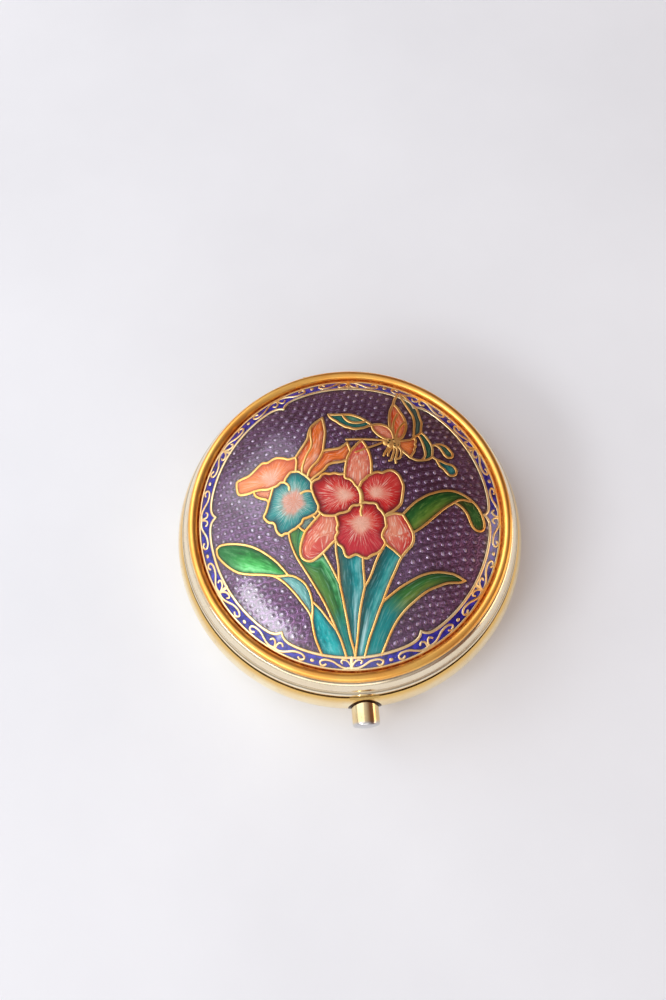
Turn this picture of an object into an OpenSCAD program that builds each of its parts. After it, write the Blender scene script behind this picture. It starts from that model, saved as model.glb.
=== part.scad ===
// Round gilt pill box with a domed cloisonne lid, a push-button catch and a rear hinge.
// Millimetres, +Z up. The origin is the centre of the flat underside.
// The button faces -Y and the hinge is at +Y.

/* [Base] */
// Radius of the flat underside
foot_r = 18; // [16:0.5:19]
// Largest radius of the base, at its waist
waist_r = 25.1; // [25:0.1:25.4]
// Height of the waist above the underside
waist_z = 5.4; // [5:0.1:5.6]
// Height of the seam between base and lid
seam_z = 8.6; // [8.5:0.1:8.7]
// Radius that the wall curves back in with, above the waist
tuck_r = 4.8; // [4.6:0.1:5.2]
// Thickness of the pressed metal wall
wall = 0.6; // [0.5:0.05:0.7]

/* [Lid] */
// Outer radius of the lid's lower band
skirt_r = 23.95; // [23.9:0.05:24]
// Radius of the lid's shoulder, under the bezel
shoulder_r = 22.65; // [22.5:0.05:22.8]
// Height of the ledge that carries the medallion
ledge_z = 12.5; // [12.4:0.1:12.7]
// Thickness of the lid's pressed metal
lid_wall = 0.5; // [0.4:0.05:0.55]
// Radius of the bezel's round bead
bead_r = 0.65; // [0.6:0.05:0.7]

/* [Medallion] */
// Radius of the medallion
medal_r = 21.2; // [21:0.1:21.25]
// Rise of the dome above its edge
dome_h = 5.8; // [5:0.1:6.2]
// Power in the dome's profile: higher is flatter on top and steeper at the edge
dome_power = 2.6; // [2:0.1:3]
// Turn of the picture against the button's axis, degrees
picture_turn = -4.2; // [-10:0.1:10]
// Thickness of the medallion's copper
copper_t = 0.3; // [0.25:0.05:0.35]
// Thickness of the ground enamel
ground_t = 0.2; // [0.15:0.01:0.25]
// Thickness of the coloured enamel and the wires over the ground
cell_t = 0.1; // [0.08:0.01:0.12]
// Width of a cloison wire
wire_w = 0.28; // [0.2:0.01:0.3]

/* [Button] */
// Radius of the button's head
button_r = 1.9; // [1.8:0.05:1.95]
// Height of the button's axis
button_z = 5.7; // [5.6:0.05:5.8]
// How far the button's end stands from the box's axis
button_reach = 27.95; // [27.5:0.05:28.5]
// Radial clearance of the button in its bush, and of the lid's knuckles on the pin
running_gap = 0.05; // [0.03:0.01:0.08]

/* [Hinge] */
// Distance of the hinge axis behind the box's axis
hinge_y = 23.4; // [23.3:0.05:23.5]
// Radius of the hinge's knuckles
knuckle_r = 0.85; // [0.8:0.05:0.9]
// Radius of the hinge's pin
pin_r = 0.4; // [0.35:0.01:0.45]
// Half of the hinge's length
hinge_half = 5; // [4.5:0.1:5.2]

/* [Hidden] */
$fn = 96;
e = 0.01;

gold = "#e6bd6a";
satin_gold = "#d9b468";

seam_gap = 0.1;
lid_z = seam_z + seam_gap;
hinge_z = seam_z + seam_gap / 2;

// The seat ring inside the base's mouth, which locates the lid.
ring_r = 22.5;
ring_lip_r = 22.95;
ring_low_z = 6.9;
ring_top_z = 9.9;

// The tray and its divider.
tray_r = 21.9;
tray_wall = 0.5;
tray_top_z = 8.3;
rim_t = 0.4;
rim_r = 22.4;
tray_front_y = -17.2;
divider_t = 0.5;

// The latch, from the front wall inwards.
bush_r = button_r + running_gap;
bush_wall = 0.4;
head_back_y = -24.1;
stem_r = 0.7;
stem_end_y = -18.3;
washer_t = 0.35;
washer_r = 2.2;
catch_w = 3.9;
catch_front_y = -23.1;
catch_t = 0.5;
barb = 0.5;
barb_low_z = 6.95;
barb_top_z = 7.6;
latch_lip_y = -22.5;
latch_leg_y = -21.75;
latch_t = 0.45;
collar_t = 0.3;
bracket_y = -19;
bracket_t = 0.5;
cheek_gap = 2.05;
cheek_t = 0.45;
spring_r = 0.95;
spring_wire_r = 0.1;
spring_turns = 4;

// The mirror under the medallion.
mirror_r = 20.8;
mirror_t = 1.2;
mirror_ring_r = 21.6;
ledge_hole_r = 20.2;

// ---------- Curves ----------

// Points of an ellipse's arc about [cx, cz], from angle a0 to a1.
function arc(cx, cz, rx, rz, a0, a1, steps = 10) =
    [for (i = [0:steps]) let (a = a0 + (a1 - a0) * i / steps) [cx + rx * cos(a), cz + rz * sin(a)]];

// A smooth closed curve through the points (Catmull-Rom).
function spline_at(p0, p1, p2, p3, t) =
    0.5 * (2 * p1 + t * (p2 - p0) + t * t * (2 * p0 - 5 * p1 + 4 * p2 - p3)
           + t * t * t * (3 * p1 - p0 - 3 * p2 + p3));

function closed_curve(p, steps = 3) =
    let (n = len(p))
    [for (i = [0:n - 1], k = [0:steps - 1])
        spline_at(p[(i + n - 1) % n], p[i], p[(i + 1) % n], p[(i + 2) % n], k / steps)];

// Height of the medallion's top surface at radius r.
function dome_z(r) = medal_edge_z + dome_h * (1 - pow(r / medal_r, dome_power));

medal_edge_z = ledge_z + copper_t + ground_t + cell_t;

// ---------- Shared solids ----------

// Half section of the base cup, grown outwards by d.
module base_section(d, low_z, top_z) {
    low = arc(foot_r, waist_z, waist_r - foot_r + d, waist_z - low_z, -90, 0, 12);
    top_a = asin((top_z - waist_z) / (tuck_r + d));
    high = arc(waist_r - tuck_r, waist_z, tuck_r + d, tuck_r + d, 0, top_a, 8);
    polygon(concat([[0, low_z]], low, high, [[0, top_z]]));
}

module base_inside() rotate_extrude() base_section(-wall, wall, seam_z);

// Half section of the lid's outside. Two convex bands with a step between them.
module lid_section(d, low_z, top_z) {
    band_z = 10.3;
    band_r = skirt_r - 0.25;
    step = 0.15;
    polygon(concat(
        [[0, low_z], [skirt_r + d, low_z]],
        arc(band_r, lid_z + 0.5, 0.25 + d, band_z - lid_z - 0.5, 0, 80, 5),
        arc(shoulder_r - 0.45, band_z, band_r - step - shoulder_r + 0.45 + d, top_z - band_z, 5, 70, 8),
        [[shoulder_r + d, top_z], [0, top_z]]));
}

module lid_inside() rotate_extrude() lid_section(-lid_wall, lid_z - e, ledge_z - lid_wall);

// The space between two offsets from the medallion's top surface.
module dome_layer(low, high, steps = 12) {
    radii = [for (i = [0:steps]) medal_r * i / steps];
    rotate_extrude()
        polygon(concat(
            [for (r = radii) [r, dome_z(r) + low]],
            [for (i = [steps:-1:0]) [radii[i], dome_z(radii[i]) + high]]));
}

// Lays flat shapes, drawn on the picture, into the enamel's layer on the dome.
module on_dome(top = 0) {
    intersection() {
        dome_layer(-cell_t, top);
        rotate([0, 0, picture_turn]) translate([0, 0, ledge_z]) linear_extrude(dome_h + 2) children();
    }
}

// A cylinder along the button's axis, from y0 inwards to y1.
module along_y(r, y0, y1) translate([0, y1, button_z]) rotate([90, 0, 0]) cylinder(r = r, h = y1 - y0);

// A cylinder along the hinge's axis.
module along_hinge(r, x0, x1) translate([x0, hinge_y, hinge_z]) rotate([0, 90, 0]) cylinder(r = r, h = x1 - x0);

// A box from its lowest to its highest corner.
module block(low, high) translate(low) cube(high - low);

// ---------- Base ----------

module base_shell() {
    color(gold)
        difference() {
            rotate_extrude()
                difference() {
                    base_section(0, 0, seam_z);
                    base_section(-wall, wall, seam_z + e);
                }
            along_y(bush_r + bush_wall, -waist_r - 1, -20);
            block([-catch_w / 2 - 0.15, -waist_r, seam_z - 0.8], [catch_w / 2 + 0.15, -20, seam_z + 1]);
            block([-hinge_half - 0.1, 20, hinge_z - 0.95], [hinge_half + 0.1, waist_r, seam_z + 1]);
        }
}

module seat_ring() {
    notch = catch_w / 2 + 0.9;
    color(satin_gold)
        difference() {
            union() {
                intersection() {
                    base_inside();
                    translate([0, 0, ring_low_z]) cylinder(r = waist_r, h = seam_z - ring_low_z);
                }
                translate([0, 0, ring_low_z]) cylinder(r = ring_lip_r, h = ring_top_z - ring_low_z);
            }
            translate([0, 0, ring_low_z - e]) cylinder(r = ring_r, h = 5);
            block([-notch, -waist_r, 0], [notch, -20, 20]);
            block([-hinge_half - 0.6, 20, 7.35], [hinge_half + 0.6, waist_r, 20]);
        }
}

// Half section of the tray cup, shrunk by d.
module tray_section(d, top_z) {
    corner = arc(foot_r - 0.5, 3.6, tray_r - foot_r + 0.5 - d, 3 - d, -90, 0, 8);
    polygon(concat([[0, wall + d]], corner, [[tray_r - d, top_z], [0, top_z]]));
}

module tray_cup() {
    color(satin_gold)
        difference() {
            union() {
                rotate_extrude() tray_section(0, tray_top_z + rim_t);
                translate([0, 0, tray_top_z]) cylinder(r = rim_r, h = rim_t);
            }
            intersection() {
                rotate_extrude() tray_section(tray_wall, 20);
                block([-30, tray_front_y + tray_wall, 0], [30, 30, 30]);
            }
            block([-30, -30, 0], [30, tray_front_y, 30]);
            block([-hinge_half - 0.6, 21.95, 0], [hinge_half + 0.6, 30, 30]);
        }
}

module tray_divider() {
    color(satin_gold)
        intersection() {
            union()
                for (a = [90, 210, 330])
                    rotate([0, 0, a]) block([0, -divider_t / 2, 0], [tray_r, divider_t / 2, tray_top_z - 0.3]);
            rotate_extrude() tray_section(tray_wall, 20);
            block([-30, tray_front_y + tray_wall, 0], [30, 30, 30]);
        }
}

module latch_cover() {
    slot = catch_w / 2 + 0.3;
    color(satin_gold)
        difference() {
            translate([0, 0, tray_top_z]) cylinder(r = rim_r, h = rim_t);
            block([-30, tray_front_y - 0.1, 0], [30, 30, 30]);
            block([-slot, -30, 0], [slot, -21.8, 30]);
        }
}

module latch_bracket() {
    cheek_y = -22;
    side = cheek_gap + cheek_t;
    color("#c9a75a")
        difference() {
            intersection() {
                union() {
                    block([-side - 1, bracket_y, 0], [side + 1, bracket_y + bracket_t, tray_top_z]);
                    for (s = [0, 1])
                        mirror([s, 0, 0])
                            block([cheek_gap, cheek_y, 0], [side, bracket_y + e, tray_top_z]);
                }
                base_inside();
            }
            along_y(stem_r + running_gap, -20, -18);
        }
}

module button_bush() {
    color(gold)
        difference() {
            along_y(bush_r + bush_wall, -waist_r - 0.1, head_back_y - 0.05);
            along_y(bush_r, -waist_r - 1, -20);
        }
}

// The hinge's length is shared by five knuckles: even ones on the base, odd ones on the lid.
knuckle_count = 5;
knuckle_gap = 0.05;

module knuckles(first, r, grow) {
    pitch = 2 * hinge_half / knuckle_count;
    for (i = [first:2:knuckle_count - 1])
        along_hinge(r, -hinge_half + i * pitch - grow, -hinge_half + (i + 1) * pitch + grow);
}

module base_hinge_leaf() {
    color(gold)
        difference() {
            union() {
                intersection() {
                    block([-hinge_half, ring_r + 0.1, 7.35], [hinge_half, waist_r, 8.2]);
                    base_inside();
                }
                knuckles(0, knuckle_r, -knuckle_gap);
            }
            knuckles(1, knuckle_r + 0.15, knuckle_gap);
            along_hinge(pin_r, -10, 10);
        }
}

module hinge_pin() color("#b98f45") along_hinge(pin_r, -hinge_half - 0.08, hinge_half + 0.08);

// ---------- Lid ----------

module lid_shell() {
    color(gold)
        difference() {
            rotate_extrude() lid_section(0, lid_z, ledge_z);
            lid_inside();
            cylinder(r = ledge_hole_r, h = 30);
            block([-hinge_half - 0.1, 20, 0], [hinge_half + 0.1, 30, 10.3]);
        }
}

module bezel_ring() {
    bead_z = ledge_z + bead_r;
    centre_r = medal_r + 0.1 + bead_r;
    color("#f0b050")
        rotate_extrude()
            union() {
                translate([centre_r, bead_z]) circle(r = bead_r);
                translate([centre_r - bead_r, ledge_z]) square([2 * bead_r, bead_z - ledge_z]);
            }
}

module medallion_plate() color("#c77a4a") dome_layer(-cell_t - ground_t - copper_t, -cell_t - ground_t);

module ground_enamel() color("#5c3f66") dome_layer(-cell_t - ground_t, -cell_t);

// The border's inner edge: a circle with six inward cusps, each narrowing fast to its point.
bay_r = 19.45;
cusp_depth = 0.9;
cusp_spread = 1.9;
cusp_steps = [0, 1, 2, 4, 8, 15, 30, 45, 52, 56, 58, 59];

// The edge's radius at angle a from a point. The points are 60 degrees apart.
function bay_edge(a) = bay_r - cusp_depth * exp(-min(a, 60 - a) / cusp_spread);

module bay_outline(d)
    polygon([for (tip = [0:60:300], a = cusp_steps)
        (bay_edge(a) + d) * [cos(tip + a), sin(tip + a)]]);

module border_enamel() {
    color("#2424a0")
        on_dome()
            difference() {
                circle(r = medal_r - 0.3);
                bay_outline(wire_w / 2);
            }
}

module border_wires() {
    color(gold)
        on_dome(0.04) {
            difference() {
                circle(r = medal_r - 0.06);
                circle(r = medal_r - 0.3);
            }
            difference() {
                bay_outline(wire_w / 2);
                bay_outline(-wire_w / 2);
            }
        }
}

// ---------- Picture: a generic spray of orchid-like flowers, leaves and a butterfly ----------

red_cells = [
    [[-5, 2.5], [-4.1, 4.4], [-2.9, 5], [-0.9, 5], [-0.2, 4], [1.2, 2], [1.1, 0.9],
     [-0.4, -0.3], [-1.8, -1], [-3.2, -1], [-4.2, -0.1], [-4.7, 1.2]],
    [[1.6, 2], [1.8, 3.2], [2.5, 4.2], [3.8, 4.8], [5.3, 5.4], [6.6, 4.7], [7.2, 3.2],
     [6.6, 0.4], [5.3, -0.7], [4.5, -0.9], [3.8, 0.4], [2.3, 0.8]],
    [[-1.7, -1.4], [-0.4, -0.6], [0.4, 0.2], [1.7, 0.5], [3.2, 0.3], [4.2, -0.9], [4.8, -2.4],
     [4.4, -3.6], [4.7, -4.9], [3.4, -6.3], [1.7, -6.7], [-0.5, -6.8], [-1.2, -5.4], [-1.8, -3.6]],
];

pink_cells = [
    [[1.7, 9.9], [0.4, 8.5], [-0.4, 6.3], [0, 4.6], [1.4, 3.4], [2.7, 4.8], [3.05, 6.3], [2.75, 7.9]],
    [[-3.2, -1.3], [-2.1, -2], [-2, -3.8], [-3.4, -6], [-5.3, -7.2], [-6.6, -6.3], [-6.2, -3.9], [-4.8, -1.8]],
    [[5.1, -1.2], [6.6, -1.1], [8.1, -2.6], [7.9, -4.8], [6.7, -6.4], [5.3, -5.2], [5, -3.6], [5.1, -2.4]],
];

orange_cells = [
    [[-15.4, 4.3], [-13.8, 5.4], [-12, 7.1], [-10.1, 7.6], [-7.7, 7.4], [-7.5, 5.6],
     [-9, 4.2], [-10.6, 3.4], [-13, 3.1], [-15.2, 3.2]],
    [[-3.7, 13.6], [-5.6, 11.9], [-6.2, 9.5], [-7.1, 8], [-7.1, 5.9], [-6, 5.5], [-4.2, 7.2], [-3.5, 9.5], [-3.3, 12]],
    [[-0.3, 9.4], [-2.1, 8.6], [-3.8, 7.4], [-5.4, 5.4], [-4.6, 4.8], [-3, 6.2], [-1.2, 6.8], [0, 8.2]],
];

teal_cells = [
    [[-8.3, 4.6], [-6.9, 5.2], [-5.5, 4.1], [-5.3, 2.7], [-4.5, 0.6], [-4.9, -0.9], [-6.4, -1.7], [-7.8, -3.1],
     [-9.3, -3.4], [-10.2, -1.9], [-11.5, -1], [-11, 0.9], [-10.5, 3], [-9.2, 3.7]],
];

leaf_cells = [
    [[-8.4, -8.7], [-11.5, -5.8], [-15.5, -4.2], [-18, -4.3], [-18.1, -5.5], [-15.2, -8.1], [-12.5, -8.7]],
    [[-8, -3.9], [-7.5, -5.9], [-4.4, -10.9], [-2, -14.7], [-0.4, -18.4], [-0.7, -16.4], [-1.5, -10.9], [-2.6, -8.2],
     [-4.3, -7], [-6, -7.4], [-6.9, -5.8]],
    [[8.3, -2.6], [7.4, -1], [9.2, 1.1], [12, 2.5], [14.8, 2.5], [17, 1.5], [18.5, -1.4], [17.2, -2],
     [15.8, 0.5], [13.8, 1], [11, -0.6]],
];

stem_cells = [
    [[-4.8, -12.8], [-3.2, -14.7], [-1.6, -17], [-0.9, -18.6], [-3.2, -18.6], [-4.6, -16.8], [-5, -15]],
    [[-1.4, -7.2], [1.4, -7.2], [1.5, -10.3], [1, -13.6], [0.3, -18.6], [-0.2, -15], [-0.9, -10.9]],
    [[4.5, -6.7], [6.4, -6.9], [5.1, -9.7], [3.6, -13.2], [2.4, -16.1], [1, -18.6], [1.4, -14.9], [3, -9.3]],
    [[14.8, -9.2], [12.5, -8.8], [9.8, -9.3], [5.4, -12.2], [3.4, -15.2], [2.2, -18.3], [3.6, -18.3],
     [5, -16], [7.9, -12], [11, -10]],
];

butterfly_cells = [
    [[-2.6, 14.1], [0.7, 14.1], [2.9, 12.7], [1.2, 12], [-1, 12.8]],
    [[3.2, 12.2], [4.8, 12.4], [5.9, 11.3], [5.9, 10.3], [4.4, 10.8]],
    [[6.5, 16.2], [5.8, 14], [6.2, 11], [7, 10.3], [7.9, 12.4], [7.6, 14.7]],
    [[8.3, 17.4], [9.8, 15.5], [10.1, 13], [9.6, 11.2], [9.2, 12.6], [8.9, 14.8]],
    [[9.6, 10.9], [11.1, 10.6], [11.4, 8.6], [10.6, 7.4], [10.4, 8.8]],
    [[6.9, 10], [8.6, 10.1], [9.2, 8.2], [7.6, 7.3], [6.4, 8.6]],
];

picture_cells = concat(
    red_cells, pink_cells, orange_cells, teal_cells, leaf_cells, stem_cells, butterfly_cells);

module cell_outlines(cells) for (c = cells) polygon(closed_curve(c));

module enamel_cells(cells)
    on_dome()
        intersection() {
            cell_outlines(cells);
            bay_outline(-wire_w / 2);
        }

module red_flower_enamel() color("#d8404a") enamel_cells(red_cells);
module pink_sepal_enamel() color("#ef9a8c") enamel_cells(pink_cells);
module orange_petal_enamel() color("#f08a48") enamel_cells(orange_cells);
module teal_flower_enamel() color("#25a39b") enamel_cells(teal_cells);
module leaf_enamel() color("#3a9a3e") enamel_cells(leaf_cells);
module stem_enamel() color("#12908e") enamel_cells(stem_cells);
module butterfly_enamel() color("#3d9470") enamel_cells(butterfly_cells);

module picture_wires() {
    color(gold)
        on_dome(0.04)
            difference() {
                intersection() {
                    offset(delta = wire_w / 2) cell_outlines(picture_cells);
                    bay_outline(-wire_w / 2);
                }
                cell_outlines(picture_cells);
            }
}

// ---------- Mirror ----------

mirror_top_z = ledge_z - lid_wall;

module backing_card() {
    color("#cfc8b8") translate([0, 0, mirror_top_z]) cylinder(r = ledge_hole_r - 0.1, h = lid_wall - 0.1);
}

module mirror_glass() {
    color("#cfd8dc") translate([0, 0, mirror_top_z - mirror_t]) cylinder(r = mirror_r, h = mirror_t);
}

module mirror_ring() {
    lip = 0.35;
    color(satin_gold)
        difference() {
            translate([0, 0, mirror_top_z - mirror_t - lip]) cylinder(r = mirror_ring_r, h = mirror_t + lip);
            translate([0, 0, mirror_top_z - mirror_t]) cylinder(r = mirror_r, h = 5);
            cylinder(r = mirror_r - 0.7, h = 30);
        }
}

// ---------- Catch and hinge on the lid ----------

module lid_catch() {
    half = catch_w / 2;
    color(gold)
        union() {
            block([-half, catch_front_y, barb_low_z], [half, catch_front_y + catch_t, lid_z + 0.3]);
            intersection() {
                block([-half, -waist_r, lid_z], [half, catch_front_y + 0.8, 11.2]);
                lid_inside();
            }
            translate([-half, catch_front_y + catch_t, 0])
                rotate([90, 0, 90])
                    linear_extrude(catch_w)
                        polygon([[-e, barb_low_z], [0.1, barb_low_z], [barb, barb_top_z - 0.2],
                                 [barb, barb_top_z], [-e, barb_top_z]]);
        }
}

module lid_hinge_leaf() {
    color(gold)
        difference() {
            union() {
                block([-hinge_half, hinge_y - knuckle_r, hinge_z], [hinge_half, hinge_y - 0.35, 10.25]);
                intersection() {
                    block([-hinge_half, 21.8, 10.2], [hinge_half, waist_r, 11.3]);
                    lid_inside();
                }
                knuckles(1, knuckle_r, -knuckle_gap);
            }
            knuckles(0, knuckle_r + 0.15, knuckle_gap);
            along_hinge(pin_r + running_gap, -10, 10);
        }
}

// ---------- Button ----------

module push_button() {
    reach = button_reach + stem_end_y;
    head = button_reach + head_back_y;
    round = 0.5;
    dome = 0.2;
    color("#ead9b0")
        translate([0, -button_reach, button_z])
            rotate([-90, 0, 0])
                rotate_extrude()
                    polygon(concat(
                        [[0, 0]],
                        arc(button_r - round, dome + round, round, round, -90, 0, 6),
                        [[button_r, head], [stem_r, head], [stem_r, reach], [0, reach]]));
}

module stop_washer() {
    color(gold)
        difference() {
            along_y(washer_r, head_back_y, head_back_y + washer_t);
            along_y(stem_r, -30, 0);
            block([-5, -30, button_z + 1], [5, 0, 20]);
        }
}

module latch_plate() {
    half = catch_w / 2 - 0.05;
    lip_z = barb_top_z + 0.05;
    color(satin_gold)
        difference() {
            union() {
                block([-half, latch_leg_y, button_z - 1.5], [half, latch_leg_y + latch_t, lip_z + latch_t]);
                block([-half, latch_lip_y, lip_z], [half, latch_leg_y + e, lip_z + latch_t]);
            }
            along_y(stem_r, -30, 0);
        }
}

module latch_collar() {
    start = latch_leg_y + latch_t;
    color(gold)
        difference() {
            along_y(stem_r + 0.4, start, start + collar_t);
            along_y(stem_r, -30, 0);
        }
}

// A helical spring round the stem, between the collar and the bracket.
module button_spring() {
    sides = 8;
    ring_count = spring_turns * 16;
    y0 = latch_leg_y + latch_t + collar_t + spring_wire_r + 0.02;
    y1 = bracket_y - spring_wire_r - 0.02;
    rings = [for (i = [0:ring_count]) let (t = i / ring_count, a = 360 * spring_turns * t)
        [for (k = [0:sides - 1]) let (b = 360 * k / sides, r = spring_r + spring_wire_r * cos(b))
            [r * cos(a), y0 + (y1 - y0) * t + spring_wire_r * sin(b), button_z + r * sin(a)]]];
    points = [for (ring = rings, p = ring) p];
    walls = [for (i = [0:ring_count - 1], k = [0:sides - 1]) let (next = (k + 1) % sides)
        [i * sides + k, i * sides + next, (i + 1) * sides + next, (i + 1) * sides + k]];
    caps = [
        [for (k = [sides - 1:-1:0]) k],
        [for (k = [0:sides - 1]) ring_count * sides + k],
    ];
    color("silver") polyhedron(points, concat(walls, caps));
}

base_shell();
seat_ring();
tray_cup();
tray_divider();
latch_cover();
latch_bracket();
button_bush();
base_hinge_leaf();
hinge_pin();
lid_shell();
bezel_ring();
medallion_plate();
ground_enamel();
border_enamel();
border_wires();
picture_wires();
red_flower_enamel();
pink_sepal_enamel();
orange_petal_enamel();
teal_flower_enamel();
leaf_enamel();
stem_enamel();
butterfly_enamel();
backing_card();
mirror_glass();
mirror_ring();
lid_catch();
lid_hinge_leaf();
push_button();
stop_washer();
latch_plate();
latch_collar();
button_spring();
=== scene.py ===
"""Looks of the round gilt pill box with a domed cloisonne lid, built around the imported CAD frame.

Lengths are in millimetres unless a comment says otherwise; add_mesh() turns them into the frame's metres.
The lid's picture is drawn in its own flat frame, x to the right and y up, and on_dome() lays it on the lid.
Names that end in _R are radii, in _Z heights over the table, in _Y places from the front (-) to the back (+)
and in _HALF half widths.
"""

import math

import bmesh
import bpy
import numpy as np
from mathutils import Matrix, Vector, geometry, kdtree


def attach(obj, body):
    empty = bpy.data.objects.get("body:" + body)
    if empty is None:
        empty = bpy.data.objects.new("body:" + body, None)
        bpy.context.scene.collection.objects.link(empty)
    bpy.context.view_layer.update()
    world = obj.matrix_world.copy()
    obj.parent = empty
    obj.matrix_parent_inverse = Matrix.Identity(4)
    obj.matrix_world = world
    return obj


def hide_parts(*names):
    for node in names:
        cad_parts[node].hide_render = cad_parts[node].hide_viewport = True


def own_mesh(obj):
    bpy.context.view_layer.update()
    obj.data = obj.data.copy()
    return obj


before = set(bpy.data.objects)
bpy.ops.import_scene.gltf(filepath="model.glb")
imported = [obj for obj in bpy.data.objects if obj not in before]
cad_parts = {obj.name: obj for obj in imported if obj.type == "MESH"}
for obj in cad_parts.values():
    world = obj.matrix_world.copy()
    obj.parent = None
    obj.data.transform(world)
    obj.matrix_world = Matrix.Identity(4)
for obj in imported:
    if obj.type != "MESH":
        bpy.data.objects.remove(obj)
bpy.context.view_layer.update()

# One millimetre in the frame's metres.
MM = 0.001

# ---------------------------------------------------------------- sizes shared with the CAD part

# The base: a flat foot, a round waist and a wall that tucks in to the seam.
FOOT_R = 18.0
WAIST_R = 25.1
WAIST_Z = 5.4
TUCK_R = 4.8
SEAM_Z = 8.6
WALL = 0.6
NOTCH_HALF = 2.1
NOTCH_Z = 8.05
HINGE_HALF = 5.1
HINGE_NOTCH_Z = 7.7

# The lid's rim: a skirt, two bands with a step between them, and a ledge for the medallion.
LID_Z = 8.7
SKIRT_R = 23.95
BAND_R = 23.7
BAND_Z = 10.3
SHOULDER_R = 22.65
LEDGE_Z = 12.5
LEDGE_HOLE_R = 20.2
LID_WALL = 0.5
BEZEL_R = 21.95
BEAD_R = 0.65

# The medallion: its dome, and the border round its picture.
MEDAL_R = 21.2
MEDAL_Z = 13.1
DOME_H = 5.8
DOME_POWER = 2.6
PICTURE_TURN = math.radians(-4.2)
BAY_R = 19.45
CUSP_DEPTH = 0.9
CUSP_SPREAD = 1.9
OUTER_WIRE_R = 20.95

# The button, its bush in the wall and its spring.
BUTTON_R = 1.9
BUTTON_Z = 5.7
BUTTON_FRONT_Y = -27.95
BUTTON_BACK_Y = -24.1
STEM_R = 0.7
STEM_END_Y = -18.3
BUSH_R = 1.95
BUSH_WALL = 0.4
BUSH_BACK_Y = -24.15
SPRING_R = 0.95
SPRING_WIRE_R = 0.1
SPRING_TURNS = 4
SPRING_FRONT_Y = -20.98
SPRING_BACK_Y = -19.02

# ---------------------------------------------------------------- the picture

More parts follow.
